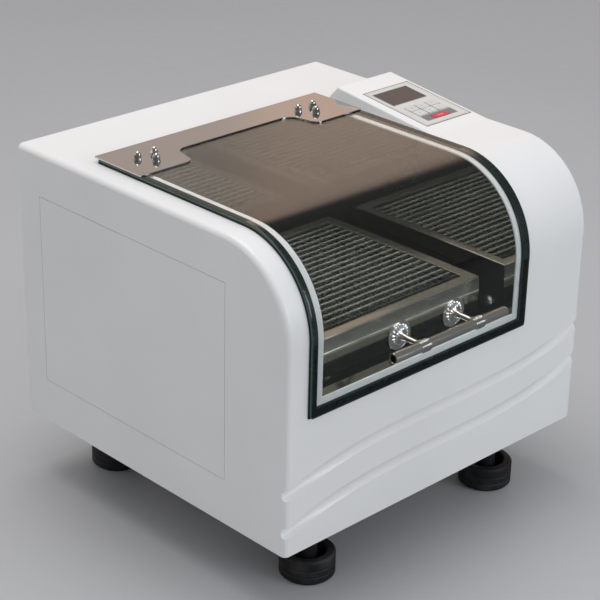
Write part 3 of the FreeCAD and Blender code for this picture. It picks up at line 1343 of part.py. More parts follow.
def loop_face(centres, radii):
    """The face inside a belt's outline: two arcs joined by their outer tangents."""
    (start, end), (big, small) = centres, radii
    reach = end - start
    along = math.atan2(reach.y, reach.x)
    lean = math.acos((big - small) / reach.Length)
    upper = [spoke(start, big, along + lean), spoke(end, small, along + lean)]
    lower = [spoke(start, big, along - lean), spoke(end, small, along - lean)]
    far = Part.Arc(upper[1], spoke(end, small, along), lower[1])
    near = Part.Arc(lower[0], spoke(start, big, along + math.pi), upper[0])
    edges = [Part.LineSegment(upper[0], upper[1]), far, Part.LineSegment(lower[1], lower[0]), near]
    return Part.Face(Part.Wire([edge.toShape() for edge in edges]))


def drive_belt():
    """The flat belt round both pulleys, just clear of their rims."""
    level = number(f"{PULLEY_LEVEL} + (pulley_width - belt_width) / 2")
    centres = [FreeCAD.Vector(number(x), number(y), level) for x, y in ((MIDDLE, AXIS_Y), MOTOR)]
    rims = [number(f"{radius} + belt_clearance") for radius in ("pulley_radius", "motor_pulley_radius")]
    thick = number("belt_thickness")
    width = FreeCAD.Vector(0, 0, number("belt_width"))
    outer = loop_face(centres, [rim + thick for rim in rims]).extrude(width)
    inner = loop_face(centres, rims).extrude(width)
    belt = doc.addObject("Part::Feature", "belt_loop")
    belt.Shape = outer.cut(inner)
    piece("drive_belt", [belt])


def drive_motor():
    """The motor stands on the pan in the right-hand bay, with its pulley and shaft above it."""
    foot = rod("motor_foot", "motor_foot_radius", MOTOR, "base_thickness",
               "base_thickness + motor_foot_thickness")
    can = rod("motor_can", "motor_radius", MOTOR, "base_thickness", MOTOR_TOP)
    bore_low = f"({MOTOR_TOP} - motor_bore_depth)"
    bore = rod("motor_bore", "motor_shaft_radius + shaft_clearance", MOTOR, *wider((bore_low, MOTOR_TOP)))
    piece("drive_motor", [cut("motor_bored", fuse("motor_whole", [foot, can]), [bore])])
    shaft = rod("motor_shaft", "motor_shaft_radius", MOTOR, bore_low, f"{PULLEY_LEVEL} + pulley_width")
    wheel = pulley("motor_pulley", "motor_pulley_radius", "motor_shaft_radius / 2", MOTOR)
    piece("motor_pulley", [fuse("motor_pulley_shaft", [wheel, shaft])])


def idlers():
    """Three idler cranks on blocks, each set off as the crank pin is."""
    blocks = []
    block_top = f"({LINER_FLOOR} + idler_block_height)"
    web_low = f"({block_top} + idler_gap)"
    web_top = f"({web_low} + idler_web_thickness)"
    for index, (x, reach) in enumerate(IDLERS, start=1):
        axis = (x, f"{AXIS_Y} + {reach}")
        pin = (x, f"{PIN_Y} + {reach}")
        block = rod("idler_block", "idler_block_radius", axis, LINER_FLOOR, block_top)
        bore = rod("idler_bore", "idler_journal_radius + shaft_clearance", axis, f"{LINER_FLOOR} + idler_gap",
                   f"{block_top} + overrun")
        blocks.append(cut("idler_bearing", block, [bore]))
        journal = rod("idler_journal", "idler_journal_radius", axis, f"{LINER_FLOOR} + 2 * idler_gap", web_low)
        web = rod("idler_web", "idler_web_radius", axis, web_low, web_top)
        tip = rod("idler_pin", "idler_journal_radius", pin, web_top, PIN_TOP)
        piece(f"idler_crank_{index}", [fuse("idler_whole", [journal, web, tip])])
    piece("idler_blocks", blocks)


# Building, checking and writing

def build():
    """Make every piece of the shaker."""
    casing_shell()
    service_panel("left_service_panel", -1)
    service_panel("right_service_panel", 1)
    base_pan()
    feet()
    rear_panel()
    rear_screws()
    power_inlet()
    rocker_switch()
    chamber_liner()
    floor_grille()
    liner_posts()
    air_duct()
    lid_glass()
    lid_gasket()
    hinge_cover_plate()
    acorn_nuts()
    hinge_bolts()
    hinge_parts()
    handle()
    control_housing()
    keypad()
    control_board()
    rack_frame()
    rack_springs()
    carriage_tray()
    crank_shaft()
    counterweight()
    piece("driven_pulley", [pulley("driven_pulley", "pulley_radius", "shaft_radius", (MIDDLE, AXIS_Y))])
    main_bearings()
    drive_belt()
    drive_motor()
    idlers()
    doc.recompute()


def check():
    """Stop where an object of the document failed or a piece has no sound shape."""
    for thing in doc.Objects:
        if "Invalid" in thing.State or "Error" in thing.State:
            raise RuntimeError(f"{thing.Name} failed: {thing.State}")
    for held in pieces:
        if held.Shape.isNull() or not held.Shape.isValid() or not held.Shape.Solids:
            raise RuntimeError(f"{held.Label} has no sound shape")


def write():
    """Write each piece to its own file."""
    os.makedirs("parts", exist_ok=True)
    for held in pieces:
        held.Shape.exportStep(os.path.join("parts", held.Label + ".step"))
        print(f"{held.Label}: {len(held.Shape.Solids)} solids, {held.Shape.Volume:.0f} mm3")


build()
check()
write()
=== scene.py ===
"""Looks of an incubated benchtop shaker: a white casing, a bent-glass lid and a spring rack.

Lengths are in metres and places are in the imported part's own frame: X to the right as
seen from the front, Y from the handle to the rear, Z up from the bench.
"""

import json
import logging
import math
from dataclasses import dataclass, field
from enum import Enum

import bmesh
import bpy
import numpy as np
from mathutils import Matrix, Vector

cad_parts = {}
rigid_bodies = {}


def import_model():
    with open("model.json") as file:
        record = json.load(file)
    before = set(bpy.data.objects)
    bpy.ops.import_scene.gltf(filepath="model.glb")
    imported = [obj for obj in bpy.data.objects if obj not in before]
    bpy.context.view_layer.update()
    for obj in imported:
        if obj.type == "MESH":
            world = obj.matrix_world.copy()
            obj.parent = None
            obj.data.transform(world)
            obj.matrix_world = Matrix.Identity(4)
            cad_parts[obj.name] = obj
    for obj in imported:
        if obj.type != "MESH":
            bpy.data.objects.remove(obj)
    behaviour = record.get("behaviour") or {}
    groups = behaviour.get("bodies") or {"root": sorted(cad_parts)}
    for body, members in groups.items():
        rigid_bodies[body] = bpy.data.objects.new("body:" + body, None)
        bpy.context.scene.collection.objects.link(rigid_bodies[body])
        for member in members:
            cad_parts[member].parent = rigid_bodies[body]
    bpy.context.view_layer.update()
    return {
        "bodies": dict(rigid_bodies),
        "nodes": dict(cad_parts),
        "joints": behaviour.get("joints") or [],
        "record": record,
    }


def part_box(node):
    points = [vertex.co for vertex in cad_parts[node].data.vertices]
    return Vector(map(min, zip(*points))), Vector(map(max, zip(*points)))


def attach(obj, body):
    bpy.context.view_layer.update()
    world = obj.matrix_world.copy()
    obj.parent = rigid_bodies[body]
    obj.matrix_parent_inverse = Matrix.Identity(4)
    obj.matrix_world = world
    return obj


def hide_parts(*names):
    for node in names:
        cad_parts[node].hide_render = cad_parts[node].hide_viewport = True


LOG = logging.getLogger("shaker")
Colour = tuple[float, float, float]
Point = tuple[float, float, float]
Pair = tuple[float, float]
Ends = tuple[float, float, float, float]
Socket = bpy.types.NodeSocket
Shader = bpy.types.ShaderNode

# How near two points of a mesh are that become one
MERGE = 1e-7

# The largest share of a straight line that one rounded corner takes
CORNER_SHARE = 0.45

# The values between which a noise pattern mostly lies
MOTTLED = (0.3, 0.7)

# The Mix node's two colour inputs and its colour output
MIX_COLOURS = (6, 7)
MIX_RESULT = 2

# The finishes that have been made, by name
MADE: dict[str, bpy.types.Material] = {}


# Meshes


class Axis(Enum):
    """The three directions of the part's frame."""

    X = 0
    Y = 1
    Z = 2

    def frame(self) -> np.ndarray:
        """Return a right-handed set of rows: the direction itself, then two across it."""
        return np.roll(np.eye(3), -self.value, axis=0)


class Crease(Enum):
    """The angle in degrees past which an edge stays sharp, by how the piece is made."""

    FORMED = 34.0
    TURNED = 50.0
    GROUND = 60.0
    WOUND = 85.0


@dataclass(frozen=True)
class Span:
    """The box that a CAD node fills at rest.

    Args:
        low: its least X, Y and Z.
        high: its greatest X, Y and Z.
    """

    low: np.ndarray
    high: np.ndarray

    @classmethod
    def of(cls, node: str) -> "Span":
        """Read the box of a CAD node."""
        low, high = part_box(node)
        return cls(np.array(low, float), np.array(high, float))

    @property
    def middle(self) -> np.ndarray:
        """Return the middle of the box."""
        return (self.low + self.high) / 2

    @property
    def size(self) -> np.ndarray:
        """Return the box's width, depth and height."""
        return self.high - self.low


@dataclass(frozen=True)
class Surface:
    """A grid of points that becomes part of a mesh.

    Args:
        points: rows by columns by three coordinates.
        round_rows: joins the last row to the first.
        round_columns: joins the last column to the first.
        finish: which of the piece's finishes the faces take.
    """

    points: np.ndarray
    round_rows: bool = False
    round_columns: bool = False
    finish: int = 0

    def faces(self, start: int) -> np.ndarray:
        """Return the corners of every face, counted from a first vertex.

        Args:
            start: the number of the grid's first vertex in the whole mesh.

        Returns:
            One row of four vertex numbers for each cell of the grid.
        """
        rows, columns = self.points.shape[:2]
        number = np.arange(rows * columns).reshape(rows, columns) + start
        if self.round_rows:
            number = np.vstack([number, number[:1]])
        if self.round_columns:
            number = np.hstack([number, number[:, :1]])
        cells = np.stack([number[:-1, :-1], number[:-1, 1:], number[1:, 1:], number[1:, :-1]],
                         axis=-1)
        return cells.reshape(-1, 4)


def circle(axis: Axis, steps: int) -> tuple[np.ndarray, np.ndarray]:
    """Return the angles once round an axis and the unit directions at them.

    A direction is cos t * b + sin t * c, with b and c across the axis, for t once round.

    Args:
        axis: the axis.
        steps: how many steps once round.

    Returns:
        The angles and the directions.
    """
    _, across, other = axis.frame()
    angle = np.linspace(0, 2 * np.pi, steps, endpoint=False)
    return angle, np.cos(angle)[:, None] * across + np.sin(angle)[:, None] * other


def lathe(profile: np.ndarray, base: np.ndarray, axis: Axis, turns: int = 48,
          flip: float = 1.0) -> Surface:
    """Turn a profile round an axis.

    A point is base + along * a + radius * (cos t * b + sin t * c), with the profile's own
    along and radius, a the axis and b and c across it, for t once round.

    Args:
        profile: rows of (distance along the axis, radius).
        base: where the axis starts.
        axis: its direction.
        turns: how many steps once round.
        flip: -1 to run against the axis.

    Returns:
        The turned surface.
    """
    along = axis.frame()[0]
    ring = circle(axis, turns)[1]
    line = base + flip * profile[:, 0, None, None] * along
    return Surface(line + profile[:, 1, None, None] * ring[None], round_columns=True)


def rounded(corners: list[Pair], radius: float, steps: int = 4,
            closed: bool = False) -> np.ndarray:
    """Round the corners of a run of straight lines.

    Each corner becomes the curve a * (1-t)^2 + 2 * corner * t * (1-t) + b * t^2 between the
    points a and b that lie at the radius before and after it.

    Args:
        corners: the run's corners in a plane.
        radius: how far before and after a corner the curve starts and ends.
        steps: how many steps a curve takes.
        closed: whether the run comes back to its first corner.

    Returns:
        The rounded run's points.
    """
    run = np.array(corners, float)
    before, after = np.roll(run, 1, axis=0), np.roll(run, -1, axis=0)
    reach = [np.linalg.norm(other - run, axis=1, keepdims=True) for other in (before, after)]
    share = [np.minimum(radius / np.maximum(length, MERGE), CORNER_SHARE) for length in reach]
    start, end = run + (before - run) * share[0], run + (after - run) * share[1]
    t = np.linspace(0, 1, steps + 1)[None, :, None]
    curve = start[:, None] * (1 - t) ** 2 + 2 * run[:, None] * t * (1 - t) + end[:, None] * t**2
    if closed:
        return curve.reshape(-1, 2)
    return np.vstack([run[:1], curve[1:-1].reshape(-1, 2), run[-1:]])


def closed_mesh(name: str, surfaces: list[Surface]) -> bpy.types.Mesh:
    """Join grids into one mesh, merge the points that meet and turn the faces out.

    Args:
        name: the mesh's name.
        surfaces: the grids that it is made of.

    Returns:
        The mesh, each face of which counts its surface's finish.
    """
    starts = np.cumsum([0] + [surface.points[..., 0].size for surface in surfaces])
    points = np.concatenate([surface.points.reshape(-1, 3) for surface in surfaces])
    faces = [surface.faces(start) for surface, start in zip(surfaces, starts)]
    finish = [np.full(len(cells), surface.finish) for surface, cells in zip(surfaces, faces)]
    mesh = bpy.data.meshes.new(name)
    mesh.from_pydata(points.tolist(), [], np.concatenate(faces).tolist())
    mesh.polygons.foreach_set("material_index", np.concatenate(finish).astype(np.int32))
    work = bmesh.new()
    work.from_mesh(mesh)
    bmesh.ops.remove_doubles(work, verts=work.verts, dist=MERGE)
    bmesh.ops.recalc_face_normals(work, faces=work.faces)
    work.to_mesh(mesh)
    work.free()
    return mesh


def add_object(name: str, data: bpy.types.ID) -> bpy.types.Object:
    """Put a new object in the scene.

    Args:
        name: the object's name.
        data: its mesh, lamp or camera.

    Returns:
        The object.
    """
    thing = bpy.data.objects.new(name, data)
    bpy.context.scene.collection.objects.link(thing)
    return thing


def make_piece(name: str, surfaces: list[Surface], finishes: list[bpy.types.Material], body: str,
               replaces: tuple[str, ...] = (),
               crease: Crease = Crease.FORMED) -> bpy.types.Object:
    """Make one object from surfaces, with its faces pointing out, and let it ride on a body.

    Args:
        name: the piece's name.
        surfaces: the grids that it is made of.
        finishes: the materials that the surfaces count.
        body: the CAD body that it moves with.
        replaces: CAD nodes that it stands for.
        crease: which of its edges stay sharp.

    Returns:
        The finished object.
    """
    mesh = closed_mesh(name, surfaces)
    mesh.polygons.foreach_set("use_smooth", np.ones(len(mesh.polygons), bool))
    mesh.set_sharp_from_angle(angle=math.radians(crease.value))
    for material in finishes:
        mesh.materials.append(material)
    thing = add_object(name, mesh)
    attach(thing, body)
    if replaces:
        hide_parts(*replaces)
    LOG.info("piece %s: %d faces on %s", name, len(mesh.polygons), body)
    return thing


def dress(frame: dict, material: bpy.types.Material, *nodes: str) -> None:
    """Give CAD nodes a material.

    Args:
        frame: the loaded frame.
        material: the finish.
        nodes: the nodes' names.
    """
    for node in nodes:
        data = frame["nodes"][node].data
        data.materials.clear()
        data.materials.append(material)
        LOG.info("node %s: %s", node, material.name)


# Shader nodes


class NodeSet:
    """Short ways to add and join the nodes of a material or of the room."""

    def __init__(self, owner: bpy.types.Material | bpy.types.World) -> None:
        """Take the nodes of a material or a world.

        Args:
            owner: the material or the world.
        """
        owner.use_nodes = True
        self.nodes = owner.node_tree.nodes
        self.links = owner.node_tree.links

    def add(self, kind: str, **settings: object) -> Shader:
        """Add a node.

        Args:
            kind: Blender's own name for it.
            settings: its properties.

        Returns:
            The node.
        """
        node = self.nodes.new(kind)
        for name, value in settings.items():
            setattr(node, name, value)
        return node

    def put(self, socket: Socket, value: object) -> None:
        """Join a socket to another, or set its value.

        Args:
            socket: the input.
            value: another node's output, or a plain value.
        """
        if isinstance(value, bpy.types.NodeSocket):
            self.links.new(value, socket)
        else:
            socket.default_value = value

    def math(self, operation: str, *values: object) -> Socket:
        """Reckon with numbers or outputs.

        Args:
            operation: Blender's own name for the sum.
            values: what it works on.

        Returns:
            The result's output.
        """
        node = self.add("ShaderNodeMath", operation=operation)
        for socket, value in zip(node.inputs, values):
            self.put(socket, value)
        return node.outputs[0]

    def between(self, value: Socket, low: float, high: float, start: float = 0.0,
                end: float = 1.0, smooth: bool = False) -> Socket:
        """Map a value from one range to another.

        Args:
            value: the output to map.
            low: where the first range starts.
            high: where it ends.
            start: what the low end becomes.
            end: what the high end becomes.
            smooth: whether the change starts and stops softly.

        Returns:
            The mapped output.
        """
        kind = "SMOOTHSTEP" if smooth else "LINEAR"
        node = self.add("ShaderNodeMapRange", interpolation_type=kind)
        for socket, number in zip(node.inputs, (value, low, high, start, end)):
            self.put(socket, number)
        return node.outputs[0]

    def mix(self, share: object, first: object, second: object) -> Socket:
        """Mix two colours.

        Args:
            share: how much of the second colour there is.
            first: a colour, or an output with one.
            second: the same.

        Returns:
            The mixed colour's output.
        """
        node = self.add("ShaderNodeMix", data_type="RGBA")
        self.put(node.inputs[0], share)
        for number, colour in zip(MIX_COLOURS, (first, second)):
            plain_colour = not isinstance(colour, bpy.types.NodeSocket)
            self.put(node.inputs[number], (*colour, 1.0) if plain_colour else colour)
        return node.outputs[MIX_RESULT]


class Tree(NodeSet):
    """The nodes of one material."""

    def __init__(self, name: str) -> None:
        """Start a material with a principled shader and the object's own coordinates.

        Args:
            name: the material's name.
        """
        self.material = bpy.data.materials.new(name)
        super().__init__(self.material)
        self.shader = self.nodes["Principled BSDF"]
        self.place = self.add("ShaderNodeTexCoord").outputs["Object"]

    def scaled(self, scale: Point, turn: Point = (0, 0, 0), shift: Point = (0, 0, 0)) -> Socket:
        """Scale, turn and shift the object's coordinates.

        Args:
            scale: the scale along each axis.
            turn: the turn about each axis, in radians.
            shift: the shift along each axis.

        Returns:
            The changed coordinates.
        """
        node = self.add("ShaderNodeMapping")
        inputs = (("Vector", self.place), ("Scale", scale), ("Rotation", turn), ("Location", shift))
        for name, value in inputs:
            self.put(node.inputs[name], value)
        return node.outputs[0]

    def noise(self, scale: float, detail: float = 3.0, vector: Socket | None = None) -> Socket:
        """Add a noise pattern.

        Args:
            scale: how many waves lie in a metre, roughly.
            detail: how many finer layers it has.
            vector: the coordinates, or None for the object's own.

        Returns:
            The pattern's output.
        """
        node = self.add("ShaderNodeTexNoise")
        inputs = (("Vector", vector or self.place), ("Scale", scale), ("Detail", detail))
        for name, value in inputs:
            self.put(node.inputs[name], value)
        return node.outputs[0]

    def clouded(self, scale: float, detail: float, first: Colour, second: Colour,
                limits: Pair = MOTTLED) -> Socket:
        """Mix two tones in soft patches.

        Args:
            scale: the pattern's scale.
            detail: how many finer layers it has.
            first: the tone where the pattern is low.
            second: the tone where it is high.
            limits: the pattern's values where each tone is pure.

        Returns:
            The colour's output.
        """
        return self.mix(self.between(self.noise(scale, detail), *limits), first, second)

    def bump(self, height: Socket, distance: float) -> None:
        """Let a height stand up from the surface.

        Args:
            height: the relief's pattern.
            distance: how high it stands where the pattern is 1.
        """
        node = self.add("ShaderNodeBump")
        self.put(node.inputs["Height"], height)
        self.put(node.inputs["Distance"], distance)
        self.put(self.shader.inputs["Normal"], node.outputs[0])

    def set(self, **values: object) -> None:
        """Set the shader's sockets by name, with _ for a space."""
        for name, value in values.items():
            self.put(self.shader.inputs[name.replace("_", " ")], value)


# Finishes


@dataclass(frozen=True)
class Finish:
    """A material with a name and one main colour.

    Args:
        name: the finish's name.
        colour: its main colour.
        roughness: how blunt its reflections are.
    """

    name: str
    colour: Colour
    roughness: float

    def make(self) -> bpy.types.Material:
        """Make the material, or find it again.

        Returns:
            The material.
        """
        if self.name not in MADE:
            tree = Tree(self.name + "_finish")
            self.build(tree)
            MADE[self.name] = tree.material
        return MADE[self.name]

    def build(self, tree: Tree) -> None:
        """Build the nodes."""
        raise NotImplementedError

    def shade(self, share: float) -> Colour:
        """Return the colour lighter or darker by a share."""
        return tuple(min(1.0, part * share) for part in self.colour)

    def blunt(self, tree: Tree, pattern: Socket, least: float, most: float) -> None:
        """Let the roughness follow a pattern.

        Args:
            tree: the material's nodes.
            pattern: the noise that it follows.
            least: the share of the finish's roughness where the pattern is low.
            most: the share where it is high.
        """
        low, high = self.roughness * least, self.roughness * most
        tree.set(Roughness=tree.between(pattern, *MOTTLED, low, high))


@dataclass(frozen=True)
class Enamel(Finish):
    """Sprayed and baked paint: a faint orange peel under a clear coat, slightly uneven in tone.

    Args:
        coat: how much clear coat there is.
        peel: how high the orange peel stands.
        tone: the darker tone as a share of the colour.
    """

    coat: float = 0.25
    peel: float = 0.00004
    tone: float = 0.965

    def build(self, tree: Tree) -> None:
        """Build the nodes.

        Args:
            tree: the material's nodes.
        """
        colour = tree.clouded(5.0, 4.0, self.shade(self.tone), self.colour, limits=(0.35, 0.65))
        tree.set(Base_Color=colour, Coat_Weight=self.coat, Coat_Roughness=0.12)
        self.blunt(tree, tree.noise(scale=60.0, detail=2.0), least=0.9, most=1.15)
        tree.bump(tree.noise(scale=420.0, detail=1.0), self.peel)


@dataclass(frozen=True)
class Rubber(Finish):
    """Moulded rubber: matt, finely pitted, with a little grey dust.

    Args:
        dust: how well the dust covers where it lies.
        shine: how strong the reflections are.
        grey: the dust's colour.
    """

    dust: float = 0.25
    shine: float = 0.5
    grey: Colour = (0.16, 0.155, 0.15)

    def build(self, tree: Tree) -> None:
        """Build the nodes.

        Args:
            tree: the material's nodes.
        """
        patch = tree.between(tree.noise(scale=26.0, detail=5.0), 0.45, 0.75, 0.0, self.dust)
        tree.set(Base_Color=tree.mix(patch, self.colour, self.grey), Specular_IOR_Level=self.shine)
        self.blunt(tree, tree.noise(scale=90.0), least=0.85, most=1.1)
        tree.bump(tree.noise(scale=900.0, detail=2.0), distance=0.00005)


@dataclass(frozen=True)
class Steel(Finish):
    """Metal with the fine lines that rolling, brushing or turning leaves along one direction.

    Args:
        grain: the scale of the lines along each axis, small where they run.
        lines: how many lines lie in a metre, roughly.
        depth: how deep they are.
        spread: how much the roughness changes from line to line, as a share.
        stain: the darker tone as a share of the colour.
    """

    grain: Point = (1.0, 1.0, 1.0)
    lines: float = 900.0
    depth: float = 0.00001
    spread: float = 0.35
    stain: float = 0.9

    def build(self, tree: Tree) -> None:
        """Build the nodes.

        Args:
            tree: the material's nodes.
        """
        line = tree.noise(self.lines, 2.0, tree.scaled(self.grain))
        colour = tree.clouded(14.0, 5.0, self.shade(self.stain), self.colour)
        tree.set(Base_Color=colour, Metallic=1.0)
        self.blunt(tree, line, least=1 - self.spread, most=1 + self.spread)
        tree.bump(line, self.depth)


@dataclass(frozen=True)
class ClearGlass(Finish):
    """Toughened sheet glass: clear, with the faintest smear of wiping over it.

    Args:
        smear: how much blunter a smear is.
    """

    smear: float = 0.02

    def build(self, tree: Tree) -> None:
        """Build the nodes.

        Args:
            tree: the material's nodes.
        """
        wiped = tree.scaled((1.0, 3.0, 1.0))
        smear = tree.between(tree.noise(scale=7.0, detail=6.0, vector=wiped), 0.45, 0.8)
        tree.set(Base_Color=tree.mix(smear, self.colour, self.shade(0.97)))
        blunt = tree.between(smear, 0.0, 1.0, self.roughness, self.roughness + self.smear)
        tree.set(Roughness=blunt, Transmission_Weight=1.0, IOR=1.5)


@dataclass(frozen=True)
class GlassEdge(Finish):
    """The ground edge of sheet glass, deep green where light comes along the sheet.

    Args:
        glow: the lighter tone as a share of the colour.
    """

    glow: float = 1.9

    def build(self, tree: Tree) -> None:
        """Build the nodes.

        Args:
            tree: the material's nodes.
        """
        drawn = tree.scaled((1.0, 0.3, 0.3))
        streak = tree.between(tree.noise(scale=40.0, detail=3.0, vector=drawn), 0.35, 0.7)
        tree.set(Base_Color=tree.mix(streak, self.colour, self.shade(self.glow)))
        blunt = tree.between(streak, 0.0, 1.0, self.roughness, self.roughness * 1.4)
        tree.set(Roughness=blunt, Coat_Weight=0.6, Coat_Roughness=0.08)


@dataclass(frozen=True)
class Casting(Finish):
    """Sand-cast metal under a thin primer: coarse and dull."""

    def build(self, tree: Tree) -> None:
        """Build the nodes.

        Args:
            tree: the material's nodes.
        """
        lump = tree.noise(scale=160.0, detail=6.0)
        tree.set(Base_Color=tree.mix(lump, self.shade(0.7), self.shade(1.3)))
        self.blunt(tree, lump, least=0.9, most=1.1)
        tree.bump(lump, distance=0.0004)


@dataclass(frozen=True)
class Moulding(Finish):
    """Moulded or printed plastic with a fine even grain.

    Args:
        coat: how much clear coat there is.
        grain: how high the grain stands.
    """

    coat: float = 0.0
    grain: float = 0.00003

    def build(self, tree: Tree) -> None:
        """Build the nodes.

        Args:
            tree: the material's nodes.
        """
        colour = tree.clouded(40.0, 4.0, self.shade(0.93), self.shade(1.04))
        tree.set(Base_Color=colour, Coat_Weight=self.coat, Coat_Roughness=0.05)
        self.blunt(tree, tree.noise(scale=300.0), least=0.9, most=1.1)
        tree.bump(tree.noise(scale=1500.0, detail=1.0), self.grain)


@dataclass(frozen=True)
class Laminate(Finish):
    """A circuit board: green lacquer with copper tracks under it in a square pattern.

    Args:
        track: the tracks' colour through the lacquer.
        pattern: the pattern's scale.
        gap: how wide the gaps between its squares are.
    """

    track: Colour = (0.2, 0.42, 0.2)
    pattern: float = 90.0
    gap: float = 0.06

    def build(self, tree: Tree) -> None:
        """Build the nodes.

        Args:
            tree: the material's nodes.
        """
        brick = tree.add("ShaderNodeTexBrick", offset=0.5, squash=1.0)
        inputs = (("Vector", tree.place), ("Scale", self.pattern), ("Mortar Size", self.gap))
        for name, value in inputs:
            tree.put(brick.inputs[name], value)
        tree.set(Base_Color=tree.mix(brick.outputs["Fac"], self.colour, self.track))
        self.blunt(tree, tree.noise(scale=80.0), least=0.8, most=1.0)
        tree.bump(brick.outputs["Fac"], distance=0.00003)


@dataclass(frozen=True)
class Slope:
    """The sloping face of the control housing, with its own two directions.

    Args:
        rise: how far the face climbs.
        run: how far back it climbs over.
        front: the front edge's place along Y.
        top: the casing's top, where the slope starts.
    """

    rise: float
    run: float
    front: float
    top: float

    @property
    def angle(self) -> float:
        """Return the slope's angle."""
        return math.atan2(self.rise, self.run)

    @property
    def turn(self) -> Pair:
        """Return the sine and the cosine of the slope's angle."""
        return math.sin(self.angle), math.cos(self.angle)

    def place(self, points: np.ndarray) -> np.ndarray:
        """Carry points of the face into the part's frame.

        Args:
            points: rows of (across, up the slope, out of it).

        Returns:
            The same points as (X, Y, Z).
        """
        sine, cosine = self.turn
        across, up, out = np.moveaxis(points, -1, 0)
        y = self.front + up * cosine - out * sine
        z = self.top + up * sine + out * cosine
        return np.stack([across, y, z], axis=-1)

    def coordinates(self, tree: Tree) -> Socket:
        """Turn and shift a tree's coordinates so that they run across and up the face.

        Args:
            tree: the material's nodes.

        Returns:
            The coordinates' output.
        """
        sine, cosine = self.turn
        shift = (0.0, -(self.front * cosine + self.top * sine),
                 self.front * sine - self.top * cosine)
        return tree.scaled((1, 1, 1), (-self.angle, 0, 0), shift)


@dataclass(frozen=True)
class Print:
    """A rectangle printed on the face.

    Args:
        across: left and right end.
        up: lower and upper end.
        colour: the ink.
        line: width of the line, or 0 for a filled rectangle.
        soft: how far the border fades.
        strength: how well the ink covers.
    """

    across: Pair
    up: Pair
    colour: Colour
    line: float = 0.0
    soft: float = 0.0003
    strength: float = 1.0

    def mask(self, tree: Tree, x: Socket, v: Socket) -> Socket:
        """Return where the ink lies.

        The distance inside the rectangle is the least of those to its four sides. Ink lies
        where it is above zero, and for a line also below the line's width.

        Args:
            tree: the material's nodes.
            x: the place across the face.
            v: the place up the face.

        Returns:
            An output that is the ink's strength where it lies and 0 elsewhere.
        """
        inside = []
        for place, (low, high) in ((x, self.across), (v, self.up)):
            away = tree.math("ABSOLUTE", tree.math("SUBTRACT", place, (low + high) / 2))
            inside.append(tree.math("SUBTRACT", (high - low) / 2, away))
        depth = tree.math("MINIMUM", *inside)
        mask = tree.between(depth, -self.soft, self.soft, 0.0, self.strength, smooth=True)
        if not self.line:
            return mask
        low, high = self.line - self.soft, self.line + self.soft
        return tree.math("MULTIPLY", mask, tree.between(depth, low, high, 1.0, 0.0, smooth=True))


@dataclass(frozen=True)
class PrintedFilm(Finish):
    """Satin film with rectangles and lines printed on it.

    Args:
        slope: the face that the film lies on.
        prints: what is printed, the lowest layer first.
    """

    slope: Slope = Slope(0.0, 1.0, 0.0, 0.0)
    prints: tuple[Print, ...] = ()

    def build(self, tree: Tree) -> None:
        """Build the nodes.

        Args:
            tree: the material's nodes.
        """
        parts = tree.add("ShaderNodeSeparateXYZ")
        tree.put(parts.inputs[0], self.slope.coordinates(tree))
        colour = tree.clouded(30.0, 4.0, self.shade(0.95), self.colour)
        for ink in self.prints:
            mask = ink.mask(tree, parts.outputs[0], parts.outputs[1])
            colour = tree.mix(mask, colour, ink.colour)
        tree.set(Base_Color=colour, Coat_Weight=0.05, Coat_Roughness=0.25,
                 Specular_IOR_Level=0.25)
        self.blunt(tree, tree.noise(scale=400.0), least=0.9, most=1.1)
        tree.bump(tree.noise(scale=1800.0, detail=1.0), distance=0.00002)


# The grain of sheet that is rolled along X, and of bar that is drawn along it
ROLLED = (0.03, 1.0, 1.0)
DRAWN = (0.02, 1.0, 1.0)

WHITE_ENAMEL = Enamel("white_enamel", (0.80, 0.795, 0.785), 0.36)
DARK_ENAMEL = Enamel("dark_enamel", (0.018, 0.018, 0.02), 0.42, coat=0.1)
MOTOR_ENAMEL = Enamel("motor_enamel", (0.06, 0.068, 0.08), 0.4)
FOOT_RUBBER = Rubber("foot_rubber", (0.012, 0.012, 0.013), 0.62)
GASKET_RUBBER = Rubber("gasket_rubber", (0.004, 0.011, 0.010), 0.3, dust=0.03, shine=0.2)
BELT_RUBBER = Rubber("belt_rubber", (0.015, 0.015, 0.015), 0.7)
LINER_STEEL = Steel("liner_steel", (0.62, 0.62, 0.585), 0.03, grain=(0.04, 0.04, 1.0), depth=3e-7)
# Far darker than the liner's steel: painted shade on the chamber floor, which lies in the tray's
# shadow.
FLOOR_PAINTED_SHADE = Steel("floor_steel_painted_shade", (0.115, 0.115, 0.10), 0.42, grain=(0.05, 1.0, 1.0), depth=1e-7,
                    spread=0.06)
RACK_STEEL = Steel("rack_steel", (0.58, 0.565, 0.505), 0.2, grain=ROLLED, depth=1e-7, spread=0.06)
TRAY_STEEL = Steel("tray_steel", (0.74, 0.73, 0.63), 0.11, grain=ROLLED, depth=2e-8, spread=0.05)
SPRING_STEEL = Steel("spring_steel", (0.23, 0.233, 0.208), 0.3, lines=500.0, stain=0.75)
# A darker copy of the spring steel: painted shade on the long springs, which lie under the cross
# springs.
SPRING_PAINTED_SHADE = Steel("spring_steel_painted_shade", (0.12, 0.123, 0.108), 0.34, lines=500.0, stain=0.7)
PLATE_METAL = Steel("tinted_plate", (0.60, 0.585, 0.595), 0.09, grain=ROLLED, depth=2e-6,
                    spread=0.2, stain=0.96)
NUT_CHROME = Steel("nut_chrome", (0.82, 0.81, 0.79), 0.16, lines=300.0, stain=0.85)
HANDLE_CHROME = Steel("handle_chrome", (0.80, 0.79, 0.77), 0.12, lines=300.0, stain=0.9)
CUT_CHROME = Steel("cut_chrome", (0.86, 0.85, 0.83), 0.12, lines=430.0, depth=0.0002, stain=0.85)
